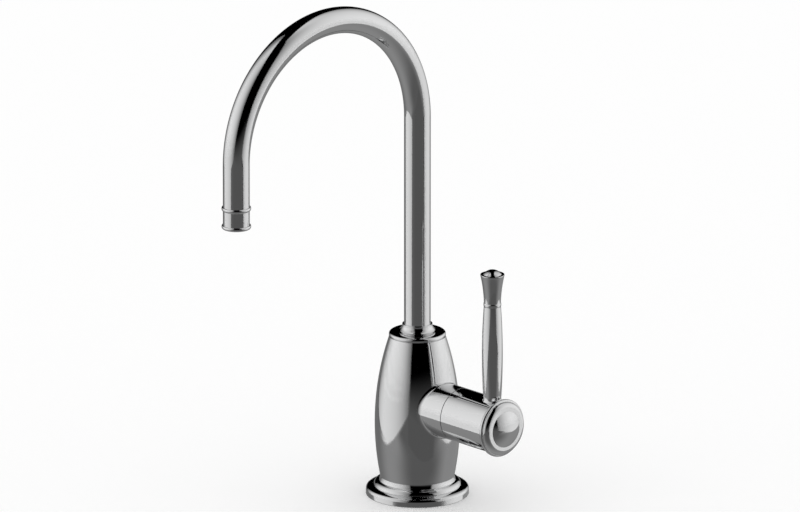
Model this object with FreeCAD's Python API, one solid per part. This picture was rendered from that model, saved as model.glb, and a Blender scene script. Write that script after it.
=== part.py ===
import FreeCAD, Part

import math
import os
from collections import namedtuple

# Deck-mounted filtered-water tap: swan-neck spout that swivels, and a quarter-turn valve in a side arm.
# Millimetres, +Z up. The origin is the centre of the foot's underside, on the barrel's axis.
# The spout reaches towards -Y and the valve arm towards +X. The lever stands upright when closed.

# Driving dimensions
TUBE_DIAMETER = 12.7
TUBE_WALL = 1.0
SPOUT_REACH = 116.9
ARCH_SPRING_HEIGHT = 187.1
OUTLET_HEIGHT = 156.1

BASE_DIAMETER = 49.0
BARREL_DIAMETER = 40.6
BARREL_BELLY_HEIGHT = 35.5
BARREL_SIDE_RADIUS = 137.0
BARREL_FOOT_HEIGHT = 7.05
BARREL_SKIRT_HEIGHT = 9.2
BARREL_TOP_HEIGHT = 78.3
GLAND_TOP_HEIGHT = 80.5

ARM_DIAMETER = 25.74
ARM_HEIGHT = 45.65
ARM_SEAM = 29.5
HUB_START = 29.8
HUB_END = 57.0
CAP_DIAMETER = 28.0
CAP_FRONT = 61.5

LEVER_OFFSET = 51.9
LEVER_SWELL_DIAMETER = 9.9
LEVER_SWELL_HEIGHT = 82.0
LEVER_NECK_HEIGHT = 104.5
LEVER_TOP_HEIGHT = 122.7

# Fits: radial play of seated pieces, of sealed or running pieces, and the gap between faces that turn
SEAT_PLAY = 0.03
RUN_PLAY = 0.08
SEAL_PLAY = 0.15
TURN_GAP = 0.35

# Waterway and deck fixings
INLET_OFFSET = -6.5
INLET_THREAD_DRILL = 9.0
INLET_THREAD_DEPTH = 13.5
STUD_OFFSET = 6.5
STUD_THREAD_DRILL = 6.8
STUD_THREAD_DEPTH = 18.0
INLET_WAY_DIAMETER = 6.0
OUTLET_WAY_DIAMETER = 5.2
BARREL_UNDERSIDE = 0.5

# Spout socket in the barrel
SOCKET_RADIUS = 9.5
SOCKET_FLOOR = 57.0
GLAND_SEAT = 69.1
GLAND_SPIGOT_RADIUS = 11.2

# Stations along the arm, measured from the barrel's axis
INLET_CHAMBER_END = -10.0
VALVE_SEAT = 3.0
CHAMBER_END = 9.0
POCKET_FLOOR = 15.0
CARTRIDGE_STEP = 19.0
CARTRIDGE_NECK_START = 23.0
CARTRIDGE_END = 28.0
SPLINE_START = 29.4
SPINDLE_END = 36.0
HUB_WEB_START = 31.0
HUB_WEB_END = 39.0

# Valve radii
INLET_CHAMBER_RADIUS = 4.0
CHAMBER_RADIUS = 9.5
HOUSING_SPIGOT_RADIUS = 10.95
CARTRIDGE_THREAD_RADIUS = 8.3
CARTRIDGE_NOSE_RADIUS = 7.0
DISC_RADIUS = 5.6
SPINDLE_RADIUS = 4.0
SPLINE_ROOT_RADIUS = 3.6
SPLINE_TEETH = 20
HUB_CAVITY_RADIUS = 7.6

# Ceramic discs
DISC_THICKNESS = 1.8
DISC_FACE_GAP = 0.02
DISC_PORT_INNER = 1.7
DISC_PORT_OUTER = 4.6
DISC_PORT_ANGLE = 80.0
DRIVER_WIDTH = 3.0
DRIVER_LENGTH = 10.4
DRIVER_DEPTH = 0.8

tube_radius = TUBE_DIAMETER / 2
tube_bore = tube_radius - TUBE_WALL
arch_radius = SPOUT_REACH / 2
base_radius = BASE_DIAMETER / 2
barrel_radius = BARREL_DIAMETER / 2
arm_radius = ARM_DIAMETER / 2
cap_radius = CAP_DIAMETER / 2

X_AXIS = FreeCAD.Vector(1, 0, 0)
Z_AXIS = FreeCAD.Vector(0, 0, 1)
ORIGIN = FreeCAD.Vector(0, 0, 0)

# Where each turned piece's own axis lies: up the barrel, out along the arm, up the lever, down the outlet
BARREL_AXIS = FreeCAD.Placement()
ARM_AXIS = FreeCAD.Placement(FreeCAD.Vector(0, 0, ARM_HEIGHT), FreeCAD.Rotation(Z_AXIS, X_AXIS))
LEVER_AXIS = FreeCAD.Placement(FreeCAD.Vector(LEVER_OFFSET, 0, 0), FreeCAD.Rotation())
OUTLET_AXIS = FreeCAD.Placement(FreeCAD.Vector(0, -SPOUT_REACH, 0), FreeCAD.Rotation())

# A corner of a turned outline, with the radius it is rounded to, and a point that an arc passes through
Corner = namedtuple("Corner", "radius height rounding", defaults=(0.0,))
Through = namedtuple("Through", "radius height")


def flat_point(radius, height):
    """A point of a turned outline, in the half-plane through its axis."""
    return FreeCAD.Vector(radius, 0, height)


def rounded_corner(before, corner, after):
    """Start, middle and end of a corner's rounding, or the corner itself three times when it is sharp."""
    tip = flat_point(corner.radius, corner.height)
    if not corner.rounding:
        return tip, tip, tip
    back = (flat_point(before.radius, before.height) - tip).normalize()
    ahead = (flat_point(after.radius, after.height) - tip).normalize()
    half_angle = back.getAngle(ahead) / 2
    reach = corner.rounding / math.tan(half_angle)
    sagitta = corner.rounding / math.sin(half_angle) - corner.rounding
    middle = tip + (back + ahead).normalize() * sagitta
    return tip + back * reach, middle, tip + ahead * reach


def outline_edges(steps):
    """Edges of a closed outline of corners, with an arc where a Through point stands between two."""
    places = [i for i, step in enumerate(steps) if isinstance(step, Corner)]
    bends = [rounded_corner(steps[i - 1], steps[i], steps[(i + 1) % len(steps)]) for i in places]
    edges = []
    for order, place in enumerate(places):
        start, middle, end = bends[order]
        following = bends[(order + 1) % len(places)][0]
        next_step = steps[(place + 1) % len(steps)]
        if start.distanceToPoint(end) > 1e-6:
            edges.append(Part.Arc(start, middle, end).toShape())
        if isinstance(next_step, Through):
            edges.append(Part.Arc(end, flat_point(next_step.radius, next_step.height), following).toShape())
        elif end.distanceToPoint(following) > 1e-6:
            edges.append(Part.LineSegment(end, following).toShape())
    return edges


def turned(steps, axis=BARREL_AXIS):
    """Solid turned from an outline of (radius, height) steps about one of the tap's axes."""
    face = Part.Face(Part.Wire(outline_edges(steps)))
    solid = face.revolve(ORIGIN, Z_AXIS, 360)
    solid.Placement = axis
    return solid


def ring(inner, outer, low, high, axis=BARREL_AXIS, rounding=0.0):
    """Plain turned ring, or a rod when inner is 0, with its outer corners rounded."""
    steps = [
        Corner(inner, low),
        Corner(outer, low, rounding),
        Corner(outer, high, rounding),
        Corner(inner, high),
    ]
    return turned(steps, axis)


def o_ring(middle_radius, cord_radius, height, axis):
    """Round-section sealing ring."""
    solid = Part.makeTorus(middle_radius, cord_radius, flat_point(0, height), Z_AXIS)
    solid.Placement = axis
    return solid


def prism(points, low, high, axis):
    """Straight prism on a closed outline of points square to an axis."""
    wire = Part.makePolygon(points + points[:1])
    solid = Part.Face(wire).extrude(Z_AXIS * (high - low))
    solid.translate(Z_AXIS * low)
    solid.Placement = axis.multiply(solid.Placement)
    return solid


def block(width, length, low, high, axis):
    """Centred rectangular block along an axis."""
    solid = Part.makeBox(width, length, high - low, FreeCAD.Vector(-width / 2, -length / 2, low))
    solid.Placement = axis
    return solid


def upright_hole(radius, offset, low, high):
    """Vertical drilling at an offset along X."""
    return Part.makeCylinder(radius, high - low, FreeCAD.Vector(offset, 0, low), Z_AXIS)


def dome_through(edge_radius, edge_height, apex_height):
    """Point half-way out on a round dome whose centre lies on its axis."""
    rise = apex_height - edge_height
    ball = (edge_radius**2 + rise**2) / (2 * rise)
    half = edge_radius / 2
    return Through(half, apex_height - ball + math.sqrt(ball**2 - half**2))


def barrel_side(height):
    """The barrel's radius at a height, on its bellied side arc."""
    rise = height - BARREL_BELLY_HEIGHT
    return barrel_radius - BARREL_SIDE_RADIUS + math.sqrt(BARREL_SIDE_RADIUS**2 - rise**2)


# Foot
FOOT_BORE = 14.1
FOOT_EDGE_ROUNDING = 0.25
WALL_HEIGHT = 2.3
SHOULDER_BEND = Through(24.36, 3.05)
SHOULDER_TOP = Corner(23.85, 3.72)
LEDGE_BEND = Through(22.6, 4.28)
LEDGE_TOP = Corner(20.85, 4.6)
STEP_BEND = Through(20.03, 6.3)
GASKET_INNER = 17.5
GASKET_OUTER = 22.0
GASKET_DEPTH = 1.5


def base_flange():
    """Stepped round foot: upright wall, rounded shoulder, rising ledge and quarter-round."""
    steps = [
        Corner(FOOT_BORE, 0),
        Corner(GASKET_INNER - SEAT_PLAY, 0),
        Corner(GASKET_INNER - SEAT_PLAY, GASKET_DEPTH + SEAT_PLAY),
        Corner(GASKET_OUTER + SEAT_PLAY, GASKET_DEPTH + SEAT_PLAY),
        Corner(GASKET_OUTER + SEAT_PLAY, 0),
        Corner(base_radius, 0, FOOT_EDGE_ROUNDING),
        Corner(base_radius, WALL_HEIGHT),
        SHOULDER_BEND,
        SHOULDER_TOP,
        LEDGE_BEND,
        LEDGE_TOP,
        STEP_BEND,
        Corner(SKIRT_RADIUS, BARREL_FOOT_HEIGHT),
        Corner(FOOT_BORE, BARREL_FOOT_HEIGHT),
    ]
    return turned(steps)


def base_gasket():
    """Rubber ring let into the foot's underside, flush with the deck."""
    return ring(GASKET_INNER, GASKET_OUTER, 0, GASKET_DEPTH)


# Barrel
SKIRT_RADIUS = 18.3
COVE_BEND = Through(17.95, 8.1)
POCKET_OVERRUN = 1.0


def barrel_body():
    """Bellied barrel with a coved skirt, drilled for the water and bored for the spout and the valve."""
    spigot_radius = FOOT_BORE - SEAT_PLAY
    steps = [
        Corner(0, BARREL_UNDERSIDE),
        Corner(spigot_radius, BARREL_UNDERSIDE),
        Corner(spigot_radius, BARREL_FOOT_HEIGHT),
        Corner(SKIRT_RADIUS, BARREL_FOOT_HEIGHT),
        COVE_BEND,
        Corner(barrel_side(BARREL_SKIRT_HEIGHT), BARREL_SKIRT_HEIGHT),
        Through(barrel_radius, BARREL_BELLY_HEIGHT),
        Corner(barrel_side(BARREL_TOP_HEIGHT), BARREL_TOP_HEIGHT),
        Corner(0, BARREL_TOP_HEIGHT),
    ]
    inlet_way = INLET_WAY_DIAMETER / 2
    outlet_way = OUTLET_WAY_DIAMETER / 2
    outlet_offset = (VALVE_SEAT + CHAMBER_END) / 2
    thread_end = BARREL_UNDERSIDE + INLET_THREAD_DEPTH
    stud_end = BARREL_UNDERSIDE + STUD_THREAD_DEPTH
    cuts = [
        ring(0, GLAND_SPIGOT_RADIUS + SEAT_PLAY, GLAND_SEAT, BARREL_TOP_HEIGHT),
        ring(0, SOCKET_RADIUS, SOCKET_FLOOR, GLAND_SEAT),
        upright_hole(outlet_way, outlet_offset, ARM_HEIGHT, SOCKET_FLOOR),
        ring(0, INLET_CHAMBER_RADIUS, INLET_CHAMBER_END, VALVE_SEAT, ARM_AXIS),
        ring(0, CHAMBER_RADIUS, VALVE_SEAT, CHAMBER_END, ARM_AXIS),
        ring(0, HOUSING_SPIGOT_RADIUS + SEAT_PLAY, CHAMBER_END, POCKET_FLOOR, ARM_AXIS),
        ring(0, arm_radius + SEAT_PLAY, POCKET_FLOOR, barrel_radius + POCKET_OVERRUN, ARM_AXIS),
        upright_hole(INLET_THREAD_DRILL / 2, INLET_OFFSET, BARREL_UNDERSIDE, thread_end),
        upright_hole(inlet_way, INLET_OFFSET, thread_end, ARM_HEIGHT),
        upright_hole(STUD_THREAD_DRILL / 2, STUD_OFFSET, BARREL_UNDERSIDE, stud_end),
    ]
    return turned(steps).cut(cuts)


# Spout swivel
GLAND_SEAT_GAP = 0.1
GLAND_RIM_OVERHANG = 0.1
GLAND_GROOVE_DEPTH = 0.45
GLAND_GROOVE_HEIGHT = 0.35
GLAND_BEAD_ROUNDING = 1.1
EDGE_ROUNDING = 0.3
NECK_RADIUS = 8.0
NECK_SETBACK = 0.2
INSERT_RADIUS = 9.4
INSERT_FLOOR = 57.6
INSERT_SHOULDER = 68.0
INSERT_WATER_BORE = 5.0
INSERT_LEAD_IN = 0.6
BUSH_ROUNDING = 0.15
TUBE_SEAT_HEIGHT = 62.0
SPOUT_SEAL_HEIGHTS = (60.2, 64.6)
SPOUT_SEAL_CORD = 0.95
SPOUT_SEAL_WIDTH = 2.2
SPOUT_SEAL_RADIUS = SOCKET_RADIUS - SEAL_PLAY - SPOUT_SEAL_CORD


def spout_gland_ring():
    """Screwed ring that keeps the spout in: threaded spigot, and a flat top with a bead round its rim."""
    bore = NECK_RADIUS + RUN_PLAY
    foot = GLAND_SEAT + GLAND_SEAT_GAP
    rim = barrel_side(BARREL_TOP_HEIGHT) + GLAND_RIM_OVERHANG
    groove_root = barrel_side(BARREL_TOP_HEIGHT) - GLAND_GROOVE_DEPTH
    groove_top = BARREL_TOP_HEIGHT + GLAND_GROOVE_HEIGHT
    steps = [
        Corner(bore, foot),
        Corner(GLAND_SPIGOT_RADIUS, foot, EDGE_ROUNDING),
        Corner(GLAND_SPIGOT_RADIUS, BARREL_TOP_HEIGHT),
        Corner(groove_root, BARREL_TOP_HEIGHT),
        Corner(groove_root, groove_top),
        Corner(rim, groove_top, EDGE_ROUNDING),
        Corner(rim, GLAND_TOP_HEIGHT, GLAND_BEAD_ROUNDING),
        Corner(bore, GLAND_TOP_HEIGHT),
    ]
    return turned(steps)


def swivel_bush():
    """Plastic thrust ring between the spout's shoulder and the gland."""
    low = INSERT_SHOULDER + SEAL_PLAY
    return ring(NECK_RADIUS + RUN_PLAY, SOCKET_RADIUS - RUN_PLAY, low, GLAND_SEAT, rounding=BUSH_ROUNDING)


def spout_insert():
    """Sleeve on the tube's lower end: a shoulder under the gland and two grooves for sealing rings."""
    neck_top = GLAND_TOP_HEIGHT - NECK_SETBACK
    pocket = tube_radius + SEAT_PLAY
    steps = [
        Corner(INSERT_WATER_BORE, INSERT_FLOOR),
        Corner(INSERT_RADIUS, INSERT_FLOOR, INSERT_LEAD_IN),
        Corner(INSERT_RADIUS, INSERT_SHOULDER, BUSH_ROUNDING),
        Corner(NECK_RADIUS, INSERT_SHOULDER),
        Corner(NECK_RADIUS, neck_top),
        Corner(pocket, neck_top),
        Corner(pocket, TUBE_SEAT_HEIGHT),
        Corner(INSERT_WATER_BORE, TUBE_SEAT_HEIGHT),
    ]
    groove_root = SPOUT_SEAL_RADIUS - SPOUT_SEAL_CORD - SEAT_PLAY
    half = SPOUT_SEAL_WIDTH / 2
    grooves = [ring(groove_root, SOCKET_RADIUS, z - half, z + half) for z in SPOUT_SEAL_HEIGHTS]
    return turned(steps).cut(grooves)


def spout_seal(order):
    """One of the two sealing rings on the spout's sleeve, counted from below."""
    return o_ring(SPOUT_SEAL_RADIUS, SPOUT_SEAL_CORD, SPOUT_SEAL_HEIGHTS[order], BARREL_AXIS)


# Spout
COLLAR_RADIUS = 8.5
COLLAR_RIM_HEIGHT = 0.7
COLLAR_RIM_ROUNDING = 0.5
COLLAR_BEND_RADIUS = 7.6
COLLAR_BEND_HEIGHT = 1.75
COLLAR_NECK_RADIUS = 7.2
COLLAR_NECK_START = 3.3
COLLAR_HEIGHT = 3.65
COLLAR_TOP_ROUNDING = 0.12
TIP_LENGTH = 10.8
TIP_SPIGOT_LENGTH = 4.0
TIP_BEAD_RADIUS = 7.0
TIP_BEAD_HEIGHT = 1.9
TIP_BEAD_ROUNDING = 0.9
TIP_RECESS_RADIUS = 5.2
TIP_RECESS_DEPTH = 6.5
TIP_BORE = 4.4
PLUG_SETBACK = 0.9
PLUG_LENGTH = 4.2
PLUG_HOLE_RADIUS = 0.75
PLUG_HOLE_PITCH = 2.0
PLUG_RINGS = 2
WASHER_BORE = 3.7
WASHER_PLAY = 0.1
WASHER_SETBACK = 0.05


def spout_tube():
    """Bent tube: riser, half-round arch and a short leg down to the tip."""
    crown = FreeCAD.Vector(0, -arch_radius, ARCH_SPRING_HEIGHT + arch_radius)
    riser_foot = flat_point(0, TUBE_SEAT_HEIGHT)
    riser_top = flat_point(0, ARCH_SPRING_HEIGHT)
    leg_top = FreeCAD.Vector(0, -SPOUT_REACH, ARCH_SPRING_HEIGHT)
    leg_foot = FreeCAD.Vector(0, -SPOUT_REACH, OUTLET_HEIGHT + TIP_LENGTH)
    route = Part.Wire(
        [
            Part.LineSegment(riser_foot, riser_top).toShape(),
            Part.Arc(riser_top, crown, leg_top).toShape(),
            Part.LineSegment(leg_top, leg_foot).toShape(),
        ]
    )
    outside = Part.Wire(Part.makeCircle(tube_radius, riser_foot, Z_AXIS))
    inside = Part.Wire(Part.makeCircle(tube_bore, riser_foot, Z_AXIS))
    return route.makePipeShell([outside], True, False).cut(route.makePipeShell([inside], True, False))


def spout_collar():
    """Flared collar round the tube, with a narrow flat top."""
    bore = tube_radius + SEAT_PLAY
    foot = GLAND_TOP_HEIGHT + TURN_GAP
    top = foot + COLLAR_HEIGHT
    steps = [
        Corner(bore, foot),
        Corner(COLLAR_RADIUS, foot, COLLAR_RIM_ROUNDING),
        Corner(COLLAR_RADIUS, foot + COLLAR_RIM_HEIGHT),
        Through(COLLAR_BEND_RADIUS, foot + COLLAR_BEND_HEIGHT),
        Corner(COLLAR_NECK_RADIUS, foot + COLLAR_NECK_START),
        Corner(COLLAR_NECK_RADIUS, top, COLLAR_TOP_ROUNDING),
        Corner(bore, top),
    ]
    return turned(steps)


def spout_tip():
    """Turned mouthpiece: two beads, a spigot brazed into the tube and a recess for the insert."""
    top = OUTLET_HEIGHT + TIP_LENGTH
    spigot = tube_bore - SEAT_PLAY
    steps = [
        Corner(TIP_RECESS_RADIUS, OUTLET_HEIGHT),
        Corner(TIP_BEAD_RADIUS, OUTLET_HEIGHT, TIP_BEAD_ROUNDING),
        Corner(TIP_BEAD_RADIUS, OUTLET_HEIGHT + TIP_BEAD_HEIGHT, TIP_BEAD_ROUNDING),
        Corner(tube_radius, OUTLET_HEIGHT + TIP_BEAD_HEIGHT),
        Corner(tube_radius, top - TIP_BEAD_HEIGHT),
        Corner(TIP_BEAD_RADIUS, top - TIP_BEAD_HEIGHT, TIP_BEAD_ROUNDING),
        Corner(TIP_BEAD_RADIUS, top, TIP_BEAD_ROUNDING),
        Corner(spigot, top),
        Corner(spigot, top + TIP_SPIGOT_LENGTH, EDGE_ROUNDING),
        Corner(TIP_BORE, top + TIP_SPIGOT_LENGTH),
        Corner(TIP_BORE, OUTLET_HEIGHT + TIP_RECESS_DEPTH),
        Corner(TIP_RECESS_RADIUS, OUTLET_HEIGHT + TIP_RECESS_DEPTH),
    ]
    return turned(steps, OUTLET_AXIS)


def flow_straightener():
    """Plastic plug drilled with a hexagonal pattern of fine holes."""
    low = OUTLET_HEIGHT + PLUG_SETBACK
    high = low + PLUG_LENGTH
    row_pitch = PLUG_HOLE_PITCH * math.sin(math.radians(60))
    plug = ring(0, TIP_RECESS_RADIUS - SEAT_PLAY, low, high, OUTLET_AXIS)
    holes = []
    for row in range(-PLUG_RINGS, PLUG_RINGS + 1):
        gaps = 2 * PLUG_RINGS - abs(row)
        for column in range(gaps + 1):
            across = PLUG_HOLE_PITCH * (column - gaps / 2)
            place = FreeCAD.Vector(across, row * row_pitch - SPOUT_REACH, low)
            holes.append(Part.makeCylinder(PLUG_HOLE_RADIUS, high - low, place, Z_AXIS))
    return plug.cut(holes)


def outlet_washer():
    """Flat rubber washer between the drilled plug and the step above it."""
    low = OUTLET_HEIGHT + PLUG_SETBACK + PLUG_LENGTH + WASHER_SETBACK
    high = OUTLET_HEIGHT + TIP_RECESS_DEPTH - SEAT_PLAY
    return ring(WASHER_BORE, TIP_RECESS_RADIUS - WASHER_PLAY, low, high, OUTLET_AXIS)


# Fixed side of the valve
HOUSING_START = 9.6
HOUSING_RECESS_RADIUS = 10.6
SEAM_ROUNDING = 0.12
GLIDE_RADIUS = 11.9
GLIDE_SEAT_DEPTH = 0.7
GLIDE_GAP = 0.15
FLAT_SEAL_BORE = 9.1
FLAT_SEAL_PLAY = 0.1
HEX_ACROSS_FLATS = 17.0
CARTRIDGE_NOSE_END = 4.2
CARTRIDGE_NECK_RADIUS = 6.4
CARTRIDGE_THREAD_START = 11.0
DISC_POCKET_END = 9.6
EAR_WIDTH = 2.0
EAR_RADIUS = 6.6
WINDOW_WIDTH = 7.0
EAR_PLAY = 0.1
WINDOW_SETBACK = 0.3
THREAD_RUN_OUT = 1.0
THREAD_LEAD_IN = 0.4
NECK_ROUNDING = 0.5
SEAT_SEAL_PLAY = 0.2
BLOCK_OVERRUN = 1.0


def valve_housing():
    """Fixed stub of the arm, screwed into the barrel, that takes the cartridge and the glide ring."""
    thread = CARTRIDGE_THREAD_RADIUS + SEAT_PLAY
    steps = [
        Corner(thread, HOUSING_START),
        Corner(HOUSING_SPIGOT_RADIUS, HOUSING_START, EDGE_ROUNDING),
        Corner(HOUSING_SPIGOT_RADIUS, POCKET_FLOOR + SEAT_PLAY),
        Corner(arm_radius, POCKET_FLOOR + SEAT_PLAY),
        Corner(arm_radius, ARM_SEAM, SEAM_ROUNDING),
        Corner(GLIDE_RADIUS + SEAT_PLAY, ARM_SEAM),
        Corner(GLIDE_RADIUS + SEAT_PLAY, ARM_SEAM - GLIDE_SEAT_DEPTH),
        Corner(HOUSING_RECESS_RADIUS, ARM_SEAM - GLIDE_SEAT_DEPTH),
        Corner(HOUSING_RECESS_RADIUS, CARTRIDGE_STEP),
        Corner(thread, CARTRIDGE_STEP),
    ]
    return turned(steps, ARM_AXIS)


def housing_seal():
    """Flat ring sealing the stub's spigot against the barrel."""
    return ring(FLAT_SEAL_BORE, HOUSING_SPIGOT_RADIUS - FLAT_SEAL_PLAY, CHAMBER_END, HOUSING_START, ARM_AXIS)


def cartridge_body():
    """Brass headwork: hexagon, thread, neck, and a slotted nose with two windows round the discs."""
    corner_radius = HEX_ACROSS_FLATS / math.sqrt(3)
    angles = [math.radians(60 * i) for i in range(6)]
    hexagon = [FreeCAD.Vector(corner_radius * math.cos(a), corner_radius * math.sin(a), 0) for a in angles]
    steps = [
        Corner(0, CARTRIDGE_NOSE_END),
        Corner(CARTRIDGE_NOSE_RADIUS, CARTRIDGE_NOSE_END),
        Corner(CARTRIDGE_NOSE_RADIUS, CARTRIDGE_THREAD_START),
        Corner(CARTRIDGE_THREAD_RADIUS, CARTRIDGE_THREAD_START, THREAD_LEAD_IN),
        Corner(CARTRIDGE_THREAD_RADIUS, CARTRIDGE_STEP + THREAD_RUN_OUT),
        Corner(CARTRIDGE_NECK_RADIUS, CARTRIDGE_STEP + THREAD_RUN_OUT),
        Corner(CARTRIDGE_NECK_RADIUS, CARTRIDGE_END, NECK_ROUNDING),
        Corner(0, CARTRIDGE_END),
    ]
    disc_end = CARTRIDGE_NOSE_END + DISC_THICKNESS + EAR_PLAY
    across = 2 * CARTRIDGE_NOSE_RADIUS + BLOCK_OVERRUN
    ear_notch = block(EAR_WIDTH + EAR_PLAY, across, CARTRIDGE_NOSE_END, disc_end, ARM_AXIS)
    window = block(WINDOW_WIDTH, across, disc_end + WINDOW_SETBACK, CHAMBER_END, ARM_AXIS)
    cuts = [
        ring(0, DISC_RADIUS + RUN_PLAY, CARTRIDGE_NOSE_END, DISC_POCKET_END, ARM_AXIS),
        ring(0, SPINDLE_RADIUS + RUN_PLAY, DISC_POCKET_END, CARTRIDGE_END, ARM_AXIS),
        ear_notch,
        window,
    ]
    body = turned(steps, ARM_AXIS)
    body = body.fuse(prism(hexagon, CARTRIDGE_STEP, CARTRIDGE_NECK_START, ARM_AXIS))
    return body.cut(cuts).removeSplitter()


def cartridge_seat_seal():
    """Rubber ring between the barrel's seat and the cartridge's nose."""
    inner = INLET_CHAMBER_RADIUS + SEAT_SEAL_PLAY
    outer = CARTRIDGE_NOSE_RADIUS - SEAT_SEAL_PLAY
    return ring(inner, outer, VALVE_SEAT, CARTRIDGE_NOSE_END, ARM_AXIS)


def disc_ports(low, high, turn):
    """Two opposite sector-shaped ports through a ceramic disc, turned about the arm."""
    ports = []
    for side in (0, 180):
        start = turn + side - DISC_PORT_ANGLE / 2
        sector = Part.makeCylinder(DISC_PORT_OUTER, high - low, flat_point(0, low), Z_AXIS, DISC_PORT_ANGLE)
        core = Part.makeCylinder(DISC_PORT_INNER, high - low, flat_point(0, low), Z_AXIS)
        port = sector.cut(core)
        port.rotate(ORIGIN, Z_AXIS, start)
        port.Placement = ARM_AXIS.multiply(port.Placement)
        ports.append(port)
    return ports


def fixed_ceramic_disc():
    """Ported disc held from turning by two ears in the cartridge's nose."""
    low = CARTRIDGE_NOSE_END
    high = low + DISC_THICKNESS
    ears = block(EAR_WIDTH, 2 * EAR_RADIUS, low, high, ARM_AXIS)
    disc = ring(0, DISC_RADIUS, low, high, ARM_AXIS).fuse(ears)
    return disc.cut(disc_ports(low, high, 0)).removeSplitter()


def hub_glide_ring():
    """Plastic ring let into the stub's end, just proud of it, that the hub runs against."""
    inner = HOUSING_RECESS_RADIUS + EAR_PLAY
    return ring(inner, GLIDE_RADIUS, ARM_SEAM - GLIDE_SEAT_DEPTH, HUB_START - GLIDE_GAP, ARM_AXIS)


# Turning side of the valve
MOVING_DISC_START = CARTRIDGE_NOSE_END + DISC_THICKNESS + DISC_FACE_GAP
MOVING_DISC_END = MOVING_DISC_START + DISC_THICKNESS
DRIVER_START = MOVING_DISC_END - DRIVER_DEPTH
SPINDLE_SEALS = (14.0, 18.5)
SPINDLE_SEAL_CORD = 0.72
SPINDLE_SEAL_RADIUS = SPINDLE_RADIUS + RUN_PLAY - SEAL_PLAY - SPINDLE_SEAL_CORD
SPINDLE_SEAL_WIDTH = 1.8
CIRCLIP_START = CARTRIDGE_END + 0.2
CIRCLIP_THICKNESS = 0.8
CIRCLIP_RADIUS = 5.4
CIRCLIP_MOUTH = 4.4
CIRCLIP_PLAY = 0.05
CIRCLIP_GROOVE_RADIUS = 3.3
SCREW_RADIUS = 1.6
SCREW_HEAD_RADIUS = 3.5
SCREW_HEAD_HEIGHT = 2.6
SCREW_DEPTH = 8.0
SCREW_HEAD_ROUNDING = 1.4
SCREW_SLOT_WIDTH = 0.9
SCREW_SLOT_LENGTH = 4.0
SCREW_SLOT_DEPTH = 1.4
SCREW_CLEARANCE = 0.4
TAPPED_RUN_OUT = 1.0
WASHER_THICKNESS = 0.8
WASHER_CLEARANCE = 0.2
WASHER_OVERHANG = 0.4
DRIVER_PLAY = 0.1
SOCKET_CLEARANCE = 0.4
HUB_END_ROUNDING = 0.35
HUB_START_ROUNDING = 0.06
HUB_WEB_OVERLAP = 1.0


def moving_ceramic_disc():
    """Ported disc turned by the spindle, slotted across its back, with its ports square to the fixed ones."""
    disc = ring(0, DISC_RADIUS, MOVING_DISC_START, MOVING_DISC_END, ARM_AXIS)
    across = 2 * DISC_RADIUS + BLOCK_OVERRUN
    slot = block(across, DRIVER_WIDTH + DRIVER_PLAY, DRIVER_START, MOVING_DISC_END, ARM_AXIS)
    return disc.cut(disc_ports(MOVING_DISC_START, MOVING_DISC_END, 90) + [slot]).removeSplitter()


def spline(root, tip, low, high):
    """Toothed prism for the splined drive between spindle and hub."""
    points = []
    for tooth in range(SPLINE_TEETH):
        for part_of_tooth, radius in ((0.0, root), (0.5, tip)):
            angle = 2 * math.pi * (tooth + part_of_tooth) / SPLINE_TEETH
            points.append(FreeCAD.Vector(radius * math.cos(angle), radius * math.sin(angle), 0))
    return prism(points, low, high, ARM_AXIS)


def valve_spindle():
    """Splined stem with seal grooves, a circlip groove, a tapped end and the bar that drives the disc."""
    driver_end = DISC_POCKET_END - DRIVER_PLAY
    stem = ring(0, SPINDLE_RADIUS, driver_end - BLOCK_OVERRUN, SPLINE_START, ARM_AXIS)
    driver = block(DRIVER_LENGTH, DRIVER_WIDTH, DRIVER_START + SEAT_PLAY, driver_end, ARM_AXIS)
    within_pocket = ring(0, DISC_RADIUS - DRIVER_PLAY, DRIVER_START, driver_end, ARM_AXIS)
    drive = spline(SPLINE_ROOT_RADIUS, SPINDLE_RADIUS, SPLINE_START, SPINDLE_END)
    half = SPINDLE_SEAL_WIDTH / 2
    groove_root = SPINDLE_SEAL_RADIUS - SPINDLE_SEAL_CORD - SEAT_PLAY
    outside = SPINDLE_RADIUS + BLOCK_OVERRUN
    cuts = [ring(groove_root, outside, s - half, s + half, ARM_AXIS) for s in SPINDLE_SEALS]
    clip_start = CIRCLIP_START - CIRCLIP_PLAY
    clip_end = CIRCLIP_START + CIRCLIP_THICKNESS + CIRCLIP_PLAY
    tapped_end = SPINDLE_END - SCREW_DEPTH - TAPPED_RUN_OUT
    cuts.append(ring(CIRCLIP_GROOVE_RADIUS, outside, clip_start, clip_end, ARM_AXIS))
    cuts.append(ring(0, SCREW_RADIUS + SEAT_PLAY, tapped_end, SPINDLE_END, ARM_AXIS))
    return stem.fuse([driver.common(within_pocket), drive]).cut(cuts).removeSplitter()


def spindle_seal(order):
    """One of the two sealing rings on the spindle, counted from the barrel."""
    return o_ring(SPINDLE_SEAL_RADIUS, SPINDLE_SEAL_CORD, SPINDLE_SEALS[order], ARM_AXIS)


def spindle_circlip():
    """Open spring ring that keeps the spindle in the cartridge."""
    end = CIRCLIP_START + CIRCLIP_THICKNESS
    clip = ring(CIRCLIP_GROOVE_RADIUS + SEAT_PLAY, CIRCLIP_RADIUS, CIRCLIP_START, end, ARM_AXIS)
    mouth_corner = FreeCAD.Vector(0, -CIRCLIP_MOUTH / 2, CIRCLIP_START)
    mouth = Part.makeBox(CIRCLIP_RADIUS + BLOCK_OVERRUN, CIRCLIP_MOUTH, CIRCLIP_THICKNESS, mouth_corner)
    mouth.Placement = ARM_AXIS
    return clip.cut(mouth)


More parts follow.
